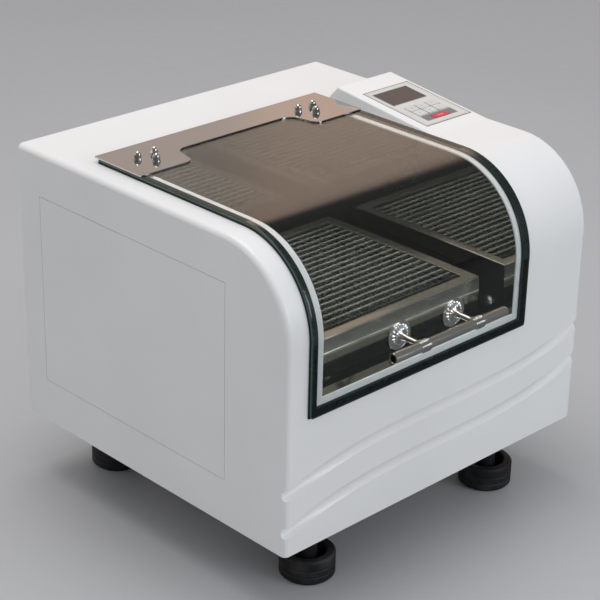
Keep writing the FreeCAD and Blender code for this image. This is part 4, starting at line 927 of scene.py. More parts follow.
# Nearly black: painted shade for the front cross spring, which lies in the rim's shadow.
HOOK_PAINTED_SHADE = Steel("hook_steel_painted_shade", (0.045, 0.046, 0.04), 0.5)
# A lighter steel than the frame's: the bead is real, its lighter colour a painted highlight where
# the tray's rounded fold catches the overhead light.
EDGE_PAINTED_HIGHLIGHT = Steel("edge_painted_highlight", (0.92, 0.92, 0.84), 0.42, grain=DRAWN)
BAR_STEEL = Steel("bar_steel", (0.93, 0.91, 0.86), 0.17, grain=DRAWN)
ZINC_STEEL = Steel("zinc_steel", (0.52, 0.53, 0.54), 0.3, lines=200.0, stain=0.8)
GROUND_STEEL = Steel("ground_steel", (0.54, 0.55, 0.57), 0.18, grain=(1.0, 1.0, 0.05))
TURNED_ALLOY = Steel("turned_alloy", (0.63, 0.64, 0.65), 0.24, grain=(0.3, 0.3, 1.0),
                     depth=0.00003)
CLEAR_GLASS = ClearGlass("clear_glass", (0.965, 0.985, 0.975), 0.0)
GLASS_EDGE = GlassEdge("glass_edge", (0.016, 0.042, 0.034), 0.16)
CAST_METAL = Casting("cast_metal", (0.05, 0.052, 0.056), 0.6)
BLACK_PLASTIC = Moulding("black_plastic", (0.014, 0.014, 0.014), 0.45)
DISPLAY_TINT = Moulding("display_tint", (0.052, 0.042, 0.047), 0.2, coat=0.1, grain=0.0)
KEY_FILM = Moulding("key_film", (0.60, 0.60, 0.585), 0.4, coat=0.2)
START_FILM = Moulding("start_film", (0.62, 0.02, 0.035), 0.32, coat=0.4)
MARK_INK = Moulding("mark_ink", (0.17, 0.17, 0.175), 0.5, grain=0.0)
PALE_INK = Moulding("pale_ink", (0.66, 0.22, 0.23), 0.5, grain=0.0)
BOARD_LAMINATE = Laminate("board_laminate", (0.01, 0.09, 0.025), 0.4)


# Casing


@dataclass
class Casing:
    """The enamelled casing with its panels, its feet and what its rear carries.

    Args:
        frame: the loaded frame.
        foot_radius: outer radius of a foot.
        foot_bore: radius of the well that the post stands in.
        foot_floor: thickness of the rubber under the post.
        rib: how deep the grooves round a foot are.
        grooves: where they start above the bench.
        tread: how far a foot's lower edge is cut back.
        shoulder: the same for its upper outer edge.
        mouth: the same for the edge of the well.
        soft: how far its corners are rounded.
    """

    frame: dict
    foot_radius: float = 0.040
    foot_bore: float = 0.027
    foot_floor: float = 0.010
    rib: float = 0.0012
    grooves: Pair = (0.012, 0.022)
    tread: float = 0.004
    shoulder: float = 0.003
    mouth: float = 0.002
    soft: float = 0.0009

    def build(self) -> None:
        """Dress the sheet metal and make the feet."""
        dress(self.frame, WHITE_ENAMEL.make(), "casing_shell", "left_service_panel",
              "right_service_panel", "rear_panel", "control_housing")
        dress(self.frame, DARK_ENAMEL.make(), "base_pan", "foot_posts")
        dress(self.frame, ZINC_STEEL.make(), "rear_screws")
        dress(self.frame, BLACK_PLASTIC.make(), "power_inlet", "rocker_switch")
        self.feet()

    def feet(self) -> None:
        """Make the rubber cups, each a profile with two grooves turned round its post."""
        cups = Span.of("foot_cups")
        high, radius, bore, rib = cups.high[2], self.foot_radius, self.foot_bore, self.rib
        outline = [(0.0, 0.0), (0.0, radius - self.tread), (self.tread, radius)]
        for level in self.grooves:
            outline += [(level, radius), (level + rib, radius - rib), (level + 2 * rib, radius)]
        outline += [(high - self.shoulder, radius), (high, radius - self.shoulder),
                    (high, bore + self.mouth), (high - self.mouth, bore),
                    (self.foot_floor, bore), (self.foot_floor, 0.0)]
        profile = rounded(outline, self.soft, 3)
        turned = [lathe(profile, np.array([x, y, 0.0]), Axis.Z, 64)
                  for x in (cups.low[0] + radius, cups.high[0] - radius)
                  for y in (cups.low[1] + radius, cups.high[1] - radius)]
        make_piece("rubber_feet", turned, [FOOT_RUBBER.make()], "casing",
                   ("foot_cups",))


# Lid


@dataclass
class Lid:
    """The bent pane with its gasket, its hinge plate and the nuts that hold it.

    Args:
        frame: the loaded frame.
        thickness: the sheet's thickness.
        bend: outer radius of the bend.
        corner: radius of the pane's lower corners.
        edge: how far in the ground edge is rounded.
        edge_rows: the rows of points across the ground edge, as shares of its width.
        first_row: how far from the pane's ends the rows of the plain glass start.
        first_column: the same from its sides.
        rows: rows of the climb, the bend and the level stretch.
        columns: columns across one half of the plain glass.
        lip_inset: how far in the gasket's lip runs.
        lip_turn: radius of its corners.
        lip_size: its width and height.
        lip_shift: how much nearer the left edge its left half runs.
        lip_under: how far under the hinge plate it ends.
        lip_form: exponent of its rounded cross-section, 1 for an ellipse and 0 for a box.
    """

    frame: dict
    thickness: float = 0.004
    bend: float = 0.1317
    corner: float = 0.005
    edge: float = 0.0011
    edge_rows: tuple[float, ...] = (0.0, 0.12, 0.35, 0.7, 1.0)
    first_row: float = 0.002
    first_column: float = 0.004
    rows: tuple[int, int, int] = (26, 49, 40)
    columns: int = 14
    lip_inset: float = 0.0125
    lip_turn: float = 0.004
    lip_size: Pair = (0.0036, 0.0026)
    lip_shift: float = 0.0024
    lip_under: float = 0.012
    lip_form: float = 0.6

    def build(self) -> None:
        """Make the pane and dress what it carries."""
        self.pane()
        self.gasket_lip()
        dress(self.frame, GASKET_RUBBER.make(), "lid_gasket")
        dress(self.frame, PLATE_METAL.make(), "hinge_cover_plate")
        dress(self.frame, NUT_CHROME.make(), "acorn_nuts")
        dress(self.frame, ZINC_STEEL.make(), "hinge_bolts", "lid_hinge_leaves",
              "body_hinge_leaves", "hinge_pins", "handle_washers")

    def path(self, box: Span) -> tuple[np.ndarray, np.ndarray, np.ndarray]:
        """Follow the pane's middle from its lower edge, round the bend, to its rear edge.

        The run is a straight climb, a quarter circle about the bend's centre and a level
        stretch. The normal points out of the casing all along.

        Args:
            box: the CAD pane's box.

        Returns:
            The distance run, the points (Y, Z) and the normals (Y, Z).
        """
        middle = self.bend - self.thickness / 2
        centre = np.array([box.low[1] + self.bend, box.high[2] - self.bend])
        close = np.array(self.edge_rows) * self.edge
        climb, level = centre[1] - box.low[2], box.high[1] - centre[0]
        climb_rows, bend_rows, level_rows = self.rows
        rising = np.concatenate([close, np.linspace(self.first_row, climb, climb_rows)[:-1]])
        turning = np.linspace(0, np.pi / 2, bend_rows)
        running = np.concatenate([np.linspace(0, level - self.first_row, level_rows)[1:],
                                  level - close[::-1]])
        outward = np.stack([-np.cos(turning), np.sin(turning)], axis=1)
        front = np.full_like(rising, centre[0] - middle)
        top = np.full_like(running, centre[1] + middle)
        points = np.concatenate([np.stack([front, box.low[2] + rising], axis=1),
                                 centre + middle * outward,
                                 np.stack([centre[0] + running, top], axis=1)])
        normals = np.concatenate([np.tile([-1.0, 0.0], (len(rising), 1)), outward,
                                  np.tile([0.0, 1.0], (len(running), 1))])
        distance = np.concatenate([rising, climb + middle * turning,
                                   climb + middle * np.pi / 2 + running])
        return distance, points, normals

    def pane(self) -> None:
        """Make the glass: the path's cross-section, whose two faces meet at a rounded edge.

        It casts no shadow, so that the lamps' light comes through it into the chamber.

        A face lies half the thickness from the middle, times sqrt(1 - (1 - d / edge)^2) where
        it is nearer than the edge's width d to the pane's outline. The outline's lower corners
        are quarter circles.
        """
        box = Span.of("lid_glass")
        distance, points, normals = self.path(box)
        half = box.size[0] / 2
        low = np.minimum(distance, self.corner)
        inset = self.corner - np.sqrt(np.maximum(self.corner**2 - (self.corner - low) ** 2, 0))
        close = np.array(self.edge_rows) * self.edge
        wide = np.concatenate([close, np.linspace(self.first_column, half, self.columns)])
        across = np.concatenate([wide, 2 * half - wide[-2::-1]])
        share = (across / half - 1)[None, :]
        x = box.middle[0] + share * (half - inset)[:, None]
        side = (half - inset)[:, None] * (1 - np.abs(share))
        ends = np.minimum(distance, distance[-1] - distance)[:, None]
        near = np.clip(np.minimum(side, ends) / self.edge, 0, 1)
        lift = self.thickness / 2 * np.sqrt(1 - (1 - near) ** 2)
        last = len(close) - 1
        inner, first, final = slice(last, -last), slice(None, last + 1), slice(-last - 1, None)
        ground = ((first, slice(None)), (final, slice(None)), (inner, first), (inner, final))
        strips = []
        for sign in (1, -1):
            yz = points[:, None] + sign * normals[:, None] * lift[..., None]
            face = np.concatenate([x[..., None], yz], axis=-1)
            strips.append(Surface(face[inner, inner]))
            strips += [Surface(face[rows, columns], finish=1) for rows, columns in ground]
        pane = make_piece("bent_pane", strips, [CLEAR_GLASS.make(), GLASS_EDGE.make()], "lid",
                          ("lid_glass",), Crease.GROUND)
        pane.visible_shadow = False

    def gasket_lip(self) -> None:
        """Run the gasket's soft lip along its inner edge, down both sides and across the bottom.

        The lip's line is laid out flat, a U with quarter-circle corners, as (across, distance
        up the pane). Each point of the rounded cross-section lies beside that line and under
        the pane's middle, and the path carries it round the bend.
        """
        box = Span.of("lid_glass")
        distance, points, normals = self.path(box)
        half = box.size[0] / 2 - self.lip_inset
        plate_front = Span.of("hinge_cover_plate").low[1]
        end = np.interp(plate_front + self.lip_under, points[:, 0], distance)
        low, turn = self.lip_inset, self.lip_turn
        sides = np.linspace(low + turn, end, 90)
        arc = np.linspace(0, np.pi / 2, 9)[1:-1]
        bottom = np.linspace(-half + turn, half - turn, 12)
        left = np.stack([np.full_like(sides, -half), sides], axis=1)[::-1]
        corner = np.stack([-half + turn * (1 - np.cos(arc)), low + turn * (1 - np.sin(arc))],
                          axis=1)
        across = np.stack([bottom, np.full_like(bottom, low)], axis=1)
        mirrored = [(part * (-1, 1))[::-1] for part in (corner, left)]
        line = np.concatenate([left, corner, across, *mirrored])
        line[:, 0] *= np.where(line[:, 0] < 0, 1 + self.lip_shift / half, 1.0)
        along = np.gradient(line, axis=0)
        along /= np.linalg.norm(along, axis=1)[:, None]
        angle = np.linspace(0, 2 * np.pi, 16, endpoint=False)
        ring = np.stack([np.cos(angle), np.sin(angle)], axis=1)
        ring = np.sign(ring) * np.abs(ring) ** self.lip_form * self.lip_size / 2
        point = np.zeros((1, *ring.shape))
        ring = np.concatenate([point, np.tile(ring, (len(line), 1, 1)), point])
        line, along = (np.concatenate([part[:1], part, part[-1:]]) for part in (line, along))
        x = box.middle[0] + line[:, None, 0] + ring[..., 0] * along[:, None, 1]
        run = line[:, None, 1] - ring[..., 0] * along[:, None, 0]
        depth = ring[..., 1] - (self.thickness + self.lip_size[1]) / 2
        y, z, out_y, out_z = (np.interp(run, distance, part) for part in (*points.T, *normals.T))
        lip = Surface(np.stack([x, y + depth * out_y, z + depth * out_z], axis=-1),
                      round_columns=True)
        make_piece("gasket_lip", [lip], [GASKET_RUBBER.make()], "lid")


@dataclass
class Handle:
    """The lid's handle: two turned rosettes, two posts, two ringed collars and a tube.

    Args:
        rosette: radius of a rosette.
        slope: a rosette's profile as (height above the glass, distance in from the rim).
        boss: the raised ring round the post as (height, radius).
        petals: how many petals are cut into a rosette.
        petal_cut: how deep they are cut.
        petal_band: middle radius and half width of the ring that they lie in.
        petal_base: how far above the glass the cut starts.
        stem_foot: a post's lower end as (height, radius).
        stem_end: its upper end as (distance before the tube's middle line, radius).
        bar: radius of the tube.
        bore: radius of its open end.
        depth: how far the open end is hollow.
        dome: length of its rounded end.
        dome_form: exponent of that end's curve.
        collar: radius and length of a collar.
        groove: how deep the grooves between a collar's beads are.
        beads: how many beads a collar has.
        bead: one bead as (distance along the collar, depth as a share of the groove's).
        bead_gap: how far the first and the last bead lie from the collar's ends.
        overlap: how far a collar reaches into the tube.
    """

    rosette: float = 0.021
    slope: tuple[Pair, ...] = (
        (0.0, 0.0), (0.0015, 0.0), (0.0026, 0.0014), (0.0027, 0.0030), (0.0022, 0.0037),
        (0.0031, 0.0048), (0.0039, 0.0080), (0.0035, 0.0088), (0.0046, 0.0098))
    boss: tuple[Pair, ...] = ((0.0057, 0.0086), (0.0063, 0.0080), (0.0070, 0.0068), (0.0070, 0.0))
    petals: int = 18
    petal_cut: float = 0.0006
    petal_band: Pair = (0.0135, 0.0045)
    petal_base: float = 0.001
    stem_foot: tuple[Pair, ...] = ((0.0, 0.0), (0.0, 0.0066), (0.0085, 0.0062), (0.011, 0.0050),
                                   (0.016, 0.0043))
    stem_end: tuple[Pair, ...] = ((0.012, 0.0040), (0.008, 0.0045), (0.002, 0.0045), (0.002, 0.0))
    bar: float = 0.0075
    bore: float = 0.0057
    depth: float = 0.028
    dome: float = 0.005
    dome_form: float = 0.6
    collar: Pair = (0.009, 0.016)
    groove: float = 0.0012
    beads: int = 5
    bead: tuple[Pair, ...] = ((0.0, 1.0), (0.0005, 0.0), (0.0015, 0.0), (0.0020, 1.0))
    bead_gap: float = 0.0005
    overlap: float = 0.0002

    def build(self) -> None:
        """Make the four kinds of turned piece."""
        flange, tube = Span.of("handle_rosettes"), Span.of("handle_bar")
        level = flange.middle[2]
        places = (flange.low[0] + self.rosette, flange.high[0] - self.rosette)
        self.rosettes(places, flange.high[1], level)
        self.posts(places, flange.high[1], tube.middle[1], level)
        self.collars(places, tube.middle[1], level)
        self.tube(tube)

    def rosettes(self, places: Pair, face: float, level: float) -> None:
        """Turn the rosettes: a thin rim, two rings cut into the slope and a raised boss.

        Between the rings the slope is cut into petals: its height changes by
        cut (1 - ((r - middle) / reach)^2) cos(petals a) at radius r and angle a.

        Args:
            places: where along X they sit.
            face: the glass's outer face along Y.
            level: their middle's height.
        """
        outline = [(0.0, 0.0), *((height, self.rosette - inset) for height, inset in self.slope),
                   *self.boss]
        profile = rounded(outline, 0.0005, 4)
        middle, reach = self.petal_band
        turned = []
        for x in places:
            base = np.array([x, face, level])
            disc = lathe(profile, base, Axis.Y, 8 * self.petals, flip=-1.0)
            aside, up = disc.points[..., 0] - x, disc.points[..., 2] - level
            share = np.clip(1 - ((np.hypot(aside, up) - middle) / reach) ** 2, 0, 1)
            raised = disc.points[..., 1] < face - self.petal_base
            wave = np.cos(self.petals * np.arctan2(up, aside))
            disc.points[..., 1] += self.petal_cut * share * wave * raised
            turned.append(disc)
        make_piece("rosettes", turned, [CUT_CHROME.make()], "lid",
                   ("handle_rosettes",), Crease.TURNED)

    def posts(self, places: Pair, face: float, line: float, level: float) -> None:
        """Turn the posts: waisted stems that narrow towards the tube.

        Args:
            places: where along X they stand.
            face: the glass's outer face along Y.
            line: the tube's middle line along Y.
            level: their middle's height.
        """
        reach = face - line
        outline = [*self.stem_foot, *((reach - before, radius) for before, radius in self.stem_end)]
        profile = rounded(outline, 0.0012, 4)
        turned = [lathe(profile, np.array([x, face, level]), Axis.Y, 40, flip=-1.0)
                  for x in places]
        make_piece("stems", turned, [HANDLE_CHROME.make()], "lid", ("handle_posts",),
                   Crease.TURNED)

    def collars(self, places: Pair, line: float, level: float) -> None:
        """Turn the collars: closed rings with evenly spaced beads.

        Args:
            places: where along X their middles are.
            line: the tube's middle line along Y.
            level: its height.
        """
        radius, length = self.collar
        low, inner = radius - self.groove, self.bar - self.overlap
        outline = [(0.0, inner), (0.0, low)]
        last = length - self.bead_gap - self.bead[-1][0]
        for start in np.linspace(self.bead_gap, last, self.beads):
            outline += [(start + step, radius - share * self.groove) for step, share in self.bead]
        outline += [(length, low), (length, inner)]
        profile = rounded(outline, 0.0003, 2, closed=True)
        rings = []
        for x in places:
            ring = lathe(profile, np.array([x - length / 2, line, level]), Axis.X, 40)
            rings.append(Surface(ring.points, round_rows=True, round_columns=True))
        make_piece("collars", rings, [CUT_CHROME.make()], "lid", ("handle_collars",),
                   Crease.TURNED)

    def tube(self, box: Span) -> None:
        """Turn the tube: open at its left end and rounded at its right end.

        Args:
            box: the CAD tube's box.
        """
        radius, bore = self.bar, self.bore
        shoulder = box.size[0] - self.dome
        turn = np.linspace(0, np.pi / 2, 9)[1:]
        outline = [(self.depth, 0.0), (self.depth, bore), (0.0005, bore), (0.0, bore + 0.0004),
                   (0.0, radius - 0.0004), (0.0005, radius), (shoulder, radius)]
        end = np.stack([shoulder + self.dome * np.sin(turn),
                        radius * np.cos(turn) ** self.dome_form], axis=1)
        profile = np.vstack([np.array(outline), end])
        turned = lathe(profile, np.array([box.low[0], *box.middle[1:]]), Axis.X)
        make_piece("grip_tube", [turned], [BAR_STEEL.make()], "lid", ("handle_bar",))


# Chamber and platform


@dataclass
class Chamber:
    """The steel chamber with what stirs and warms its air.

    Args:
        frame: the loaded frame.
    """

    frame: dict

    def build(self) -> None:
        """Dress the chamber's nodes."""
        dress(self.frame, LINER_STEEL.make(), "chamber_liner")
        dress(self.frame, FLOOR_PAINTED_SHADE.make(), "floor_grille")
        dress(self.frame, ZINC_STEEL.make(), "fan_duct", "liner_posts")
        dress(self.frame, GROUND_STEEL.make(), "heater_coil", "temperature_probe")
        dress(self.frame, TURNED_ALLOY.make(), "circulation_fan")
        dress(self.frame, MOTOR_ENAMEL.make(), "fan_motor")


@dataclass
class SpringRack:
    """The platform: a folded frame with close-wound springs stretched both ways across it.

    Args:
        frame: the loaded frame.
        spring: outer radius of a spring.
        pitch: about how far one spring is from the next.
        wire: thickness of the wire, which is also the pitch of the winding.
        rim: width of the frame's top.
        lip: how far its inner edge is turned down.
        sheet: the frame's thickness.
        fold: inner radius of its folds.
        bead: radius of the bead along its lower front edge.
        hooked: climb and bulge of the front spring, which takes the others' hooks.
        groups: how many springs one piece holds at most.
    """

    frame: dict
    spring: float = 0.0022
    pitch: float = 0.0142
    wire: float = 0.0012
    rim: float = 0.0175
    lip: float = 0.015
    sheet: float = 0.0015
    fold: float = 0.0022
    bead: float = 0.0011
    hooked: Pair = (0.0065, 0.0013)
    groups: int = 9

    def build(self) -> None:
        """Make the frame and the springs, and dress the tray."""
        dress(self.frame, TRAY_STEEL.make(), "carriage_tray")
        dress(self.frame, GROUND_STEEL.make(), "carriage_bearing")
        self.folded_frame()
        self.springs("cross_springs", Axis.X, Axis.Y, SPRING_STEEL)
        self.springs("long_springs", Axis.Y, Axis.X, SPRING_PAINTED_SHADE)

    def folded_frame(self) -> None:
        """Carry the folded sheet's profile round a rectangle with mitred corners.

        The profile gives each point an inset from the outer rectangle and a height, and the
        four corners of the rectangle smaller by that inset are the point's places. A bead
        runs along the lower front edge, in a lighter steel whose colour is a painted highlight.
        """
        box = Span.of("rack_frame")
        low, top, sheet = box.low[2], box.high[2], self.sheet
        outline = [(0.0, low), (0.0, top), (self.rim, top), (self.rim, top - self.lip),
                   (self.rim - sheet, top - self.lip), (self.rim - sheet, top - sheet),
                   (sheet, top - sheet), (sheet, low)]
        profile = self.folded(outline)
        inset, level = profile[:, 0, None], profile[:, 1, None]
        signs = np.array([(-1, -1), (1, -1), (1, 1), (-1, 1)], float)
        half = box.size[:2] / 2
        x = box.middle[0] + signs[None, :, 0] * (half[0] - inset)
        y = box.middle[1] + signs[None, :, 1] * (half[1] - inset)
        points = np.stack([x, y, np.broadcast_to(level, x.shape)], axis=-1)
        sheet_metal = Surface(points, round_rows=True, round_columns=True)
        make_piece("folded_frame", [sheet_metal], [RACK_STEEL.make()], "platform",
                   ("rack_frame",))
        # The bead's lighter steel is a painted highlight along the lower front edge.
        length, bead = box.size[0], self.bead
        rod = rounded([(0.0, 0.0), (0.0, bead), (length, bead), (length, 0.0)], bead / 2, 2)
        place = np.array([box.low[0], box.low[1] + bead / 2, low + bead])
        make_piece("edge_bead", [lathe(rod, place, Axis.X, 12)], [EDGE_PAINTED_HIGHLIGHT.make()],
                   "platform")

    def folded(self, outline: list[Pair]) -> np.ndarray:
        """Round the two outer folds of the sheet's outline, and keep the rest sharp.

        Args:
            outline: the sheet's corners, the two outer folds second and third.

        Returns:
            The points of the sheet's profile.
        """
        sharp = rounded(outline, 0.0002, 1, closed=True).reshape(-1, 2, 2)
        soft = rounded(outline, self.fold, 6, closed=True).reshape(len(outline), -1, 2)
        return np.vstack([soft[i] if i in (1, 2) else sharp[i] for i in range(len(outline))])

    def springs(self, node: str, along: Axis, across: Axis, finish: Steel) -> None:
        """Make the springs of one direction.

        Of those that run across, the one nearest the front takes the others' hooks and is
        coarse; it is nearly black, painted shade where the frame's rim shadows it.

        Args:
            node: the CAD node that holds these springs.
            along: the direction that they run in.
            across: the direction that they follow each other in.
            finish: the wire's finish.
        """
        box = Span.of(node)
        count = round((box.size[across.value] - 2 * self.spring) / self.pitch) + 1
        steps = np.linspace(box.low[across.value] + self.spring,
                            box.high[across.value] - self.spring, count)
        front = 1 if along is Axis.X else 0
        tube = self.wind(box, along, self.wire, self.wire / 2)
        parts = np.array_split(steps[front:], math.ceil(count / self.groups))
        groups = [(chosen, tube, finish) for chosen in parts]
        if front:
            groups.append((steps[:1], self.wind(box, along, *self.hooked), HOOK_PAINTED_SHADE))
        for group, (chosen, form, metal) in enumerate(groups, start=1):
            shifts = np.zeros((len(chosen), 3))
            shifts[:, across.value] = chosen
            wound = [Surface(form + shift, round_columns=True) for shift in shifts]
            make_piece(f"{node}_{group}", wound, [metal.make()], "platform",
                       (node,) if group == 1 else (), Crease.WOUND)

    def wind(self, box: Span, along: Axis, climb: float, bulge: float) -> np.ndarray:
        """Return one spring's rings of points, with both ends closed.

        A spring's radius is its outer radius less a bulge times 1 - |cos((a - s) / 2)|, where
        a is the angle round it and s = 2 pi distance / climb: a wire that climbs that far each
        turn.

        Args:
            box: the CAD node's box.
            along: the direction that the spring runs in.
            climb: how far the wire climbs each turn.
            bulge: how far it stands out.

        Returns:
            The rings' points, the first and last ring drawn together.
        """
        length = box.size[along.value]
        distance = np.linspace(0, length, int(length / self.wire * 4))
        angle, ring = circle(along, 9)
        phase = 2 * np.pi * distance[:, None] / climb - angle[None]
        radius = self.spring - bulge * (1 - np.abs(np.cos(phase / 2)))
        start = np.zeros(3)
        start[along.value] = box.low[along.value]
        start[2] = box.middle[2]
        direction = along.frame()[0]
        line = start + distance[:, None, None] * direction
        tube = line + radius[..., None] * ring[None]
        ends = [np.broadcast_to(start + place * direction, tube[:1].shape)
                for place in (0.0, length)]
        return np.concatenate([ends[0], tube, ends[1]])


@dataclass
class Drive:
    """The orbital drive under the chamber.

    Args:
        frame: the loaded frame.
    """

    frame: dict

    def build(self) -> None:
        """Dress the drive's nodes."""
        dress(self.frame, GROUND_STEEL.make(), "crank_shaft", "main_bearings", "idler_crank_1",
              "idler_crank_2", "idler_crank_3", "idler_blocks")
        dress(self.frame, CAST_METAL.make(), "main_bearing_housing", "counterweight")
        dress(self.frame, TURNED_ALLOY.make(), "driven_pulley", "motor_pulley")
        dress(self.frame, BELT_RUBBER.make(), "drive_belt")
        dress(self.frame, MOTOR_ENAMEL.make(), "drive_motor")


# Keypad


class Mark(Enum):
    """The generic signs that the keys carry, as corners in a square of side 2."""

    UP = ((0, 1), (0.9, -0.8), (-0.9, -0.8))
    DOWN = ((0, -1), (-0.9, 0.8), (0.9, 0.8))
    LEFT = ((-1, 0), (0.8, -0.9), (0.8, 0.9))
    RIGHT = ((1, 0), (-0.8, 0.9), (-0.8, -0.9))
    SQUARE = ((-0.8, -0.8), (0.8, -0.8), (0.8, 0.8), (-0.8, 0.8))
    BAR = ((-1, -0.25), (1, -0.25), (1, 0.25), (-1, 0.25))


@dataclass
class Keypad:
    """The sloping keypad: printed film, smoked window, six pale keys and a red one.

    Args:
        frame: the loaded frame.
        slope: the face that it lies on.
        panel: left, right, lower and upper end of the film.
        keys: the same for the block of six keys.
        zone: the same for the dark print round the red key.
        window: the same for the smoked window.
        cell: size of one key's outline.
        ink: colour of the printed lines.
        zone_ink: colour of the print round the red key.
        window_ink: colour of the print round the window.
        gap: how far the border lies in from the film's edge.
        inner_gap: the same for the line inside it.
        lower_shadow: where the painted shadow along the lower edge ends, from the film's edge.
        edge: the same for the painted shadow along the left edge.
        surround: how far the print round the window stands out from it.
        mark: size of a sign.
        start_mark: size of the red key's sign.
        mark_height: how thick a sign is.
    """

    frame: dict
    slope: Slope
    panel: Ends = (0.1915, 0.2895, 0.0275, 0.1625)
    keys: Ends = (0.2080, 0.2734, 0.0579, 0.0915)
    zone: Ends = (0.2075, 0.2740, 0.0405, 0.0575)
    window: Ends = (0.2025, 0.2730, 0.1073, 0.1496)
    cell: Pair = (0.0218, 0.0168)
    ink: Colour = (0.022, 0.026, 0.026)
    zone_ink: Colour = (0.13, 0.135, 0.16)
    window_ink: Colour = (0.13, 0.125, 0.13)
    gap: float = 0.0004
    inner_gap: float = 0.0042
    lower_shadow: float = 0.0019
    edge: float = 0.0017
    surround: float = 0.002
    mark: float = 0.0026
    start_mark: float = 0.013
    mark_height: float = 0.00006

    def build(self) -> None:
        """Print the film, dress the keys and lay the signs on them."""
        film = PrintedFilm("label_film", (0.64, 0.62, 0.58), 0.4, self.slope, self.prints())
        dress(self.frame, film.make(), "membrane_panel")
        dress(self.frame, DISPLAY_TINT.make(), "display_window")
        dress(self.frame, KEY_FILM.make(), *(f"key_{number}" for number in range(1, 7)))
        dress(self.frame, START_FILM.make(), "start_key")
        dress(self.frame, BOARD_LAMINATE.make(), "control_board")
        self.marks()

    def grown(self, ends: Ends, by: float) -> tuple[Pair, Pair]:
        """Return a rectangle's ends across and up, moved outwards by a distance."""
        left, right, low, high = ends
        return (left - by, right + by), (low - by, high + by)

    def prints(self) -> tuple[Print, ...]:
        """Lay out what is printed on the film, with the painted shadows along its lower and left
        edges.

        Returns:
            The prints, the lowest layer first.
        """
        left, _, low, _ = self.panel
        across, up = self.grown(self.panel, -self.gap)
        border = Print(across, up, self.ink, line=0.0010)
        inner = Print(*self.grown(self.panel, -self.inner_gap), self.ink, line=0.0007,
                      strength=0.35)
        # The film's thickness casts a shadow along its lower and left edges: both dark bars are
        # painted shadow.
        lower_shadow = Print(across, (up[0], low + self.lower_shadow), self.ink)
        edge = Print((across[0], left + self.edge), up, self.ink, strength=0.6)
        zone = Print(self.zone[:2], self.zone[2:], self.zone_ink, soft=0.0012, strength=0.9)
        shade = Print(*self.grown(self.window, self.surround), self.window_ink, soft=0.0016)
        wide, high = self.cell
        cells = []
        for row in range(2):
            for column in range(3):
                x, v = self.keys[0] + column * wide, self.keys[2] + row * high
                cells.append(Print((x, x + wide), (v, v + high), self.ink, line=0.0009,
                                   strength=0.85))
        return (border, inner, lower_shadow, edge, zone, shade, *cells)

    def marks(self) -> None:
        """Lay a thin sign on each key.

        A sign is four rings of the same outline: its centre below, its rim below, its rim
        above and its centre above, so that it closes into a flat prism.
        """
        signs = [(f"key_{number}", sign, self.mark, MARK_INK)
                 for number, sign in enumerate(Mark, start=1)]
        for node, sign, size, ink in [*signs, ("start_key", Mark.BAR, self.start_mark, PALE_INK)]:
            top = self.key_top(node)
            rim = np.array(sign.value, float) * size / 2
            rim = np.concatenate([rim, np.zeros((len(rim), 1))], axis=1) + top
            centre = np.broadcast_to(top, rim.shape)
            lift = np.array([0.0, 0.0, self.mark_height])
            rings = np.stack([centre, rim, rim + lift, centre + lift])
            make_piece(f"{node}_sign", [Surface(self.slope.place(rings), round_columns=True)],
                       [ink.make()], f"{node}_cap")

    def key_top(self, node: str) -> np.ndarray:
        """Return where a key's top face has its middle, across, up and out of the slope.

        Args:
            node: the key's CAD node.

        Returns:
            The three distances.
        """
        sine, cosine = self.slope.turn
        corners = np.array([(v.co.y - self.slope.front, v.co.z - self.slope.top)
                            for v in self.frame["nodes"][node].data.vertices])
        up, out = (corners @ np.array([[cosine, -sine], [sine, cosine]])).T
        return np.array([Span.of(node).middle[0], (up.min() + up.max()) / 2, out.max()])


# Studio


@dataclass
class PhotoCamera:
    """The camera at the photograph's own place and angle.

    Args:
        place: where it stands.
        right: its right direction.
        up: its up direction.
        forward: where it looks.
        lens: focal length in mm.
        sensor: width of the sensor in mm.
        reach: the nearest and the farthest that it sees.
    """

    place: Point = (-1.7436, -1.7389, 1.4406)
    right: Point = (0.7200, -0.6936, 0.0206)
    up: Point = (0.2786, 0.3161, 0.9068)
    forward: Point = (0.6355, 0.6472, -0.4209)
    lens: float = 110.81
    sensor: float = 36.0
    reach: Pair = (0.05, 60.0)

    def build(self) -> None:
        """Put the camera in the scene."""
        data = bpy.data.cameras.new("photo_camera")
        data.lens, data.sensor_width = self.lens, self.sensor
        data.clip_start, data.clip_end = self.reach
        camera = add_object("photo_camera", data)
        backward = tuple(-part for part in self.forward)
        turn = Matrix((self.right, self.up, backward)).transposed()
        camera.matrix_world = Matrix.Translation(Vector(self.place)) @ turn.to_4x4()
        bpy.context.scene.camera = camera


@dataclass(frozen=True)
class SoftLight:
    """A large soft lamp that looks at the object's middle.

    Args:
        name: its name.
        place: where it hangs.
        size: its diameter.
        power: its power in watts.
        colour: its light's colour.
        aim: what it looks at.
    """

    name: str
    place: Point
    size: float
    power: float
    colour: Colour = (1.0, 1.0, 1.0)
    aim: Point = (0.0, 0.0, 0.25)

    def build(self) -> None:
        """Put the lamp in the scene."""
        data = bpy.data.lights.new(self.name, "AREA")
        data.shape, data.size = "DISK", self.size
        data.energy, data.color = self.power, self.colour
        lamp = add_object(self.name, data)
        lamp.location = self.place
        lamp.rotation_mode = "QUATERNION"
        way = Vector(self.aim) - Vector(self.place)
        lamp.rotation_quaternion = way.to_track_quat("-Z", "Y")


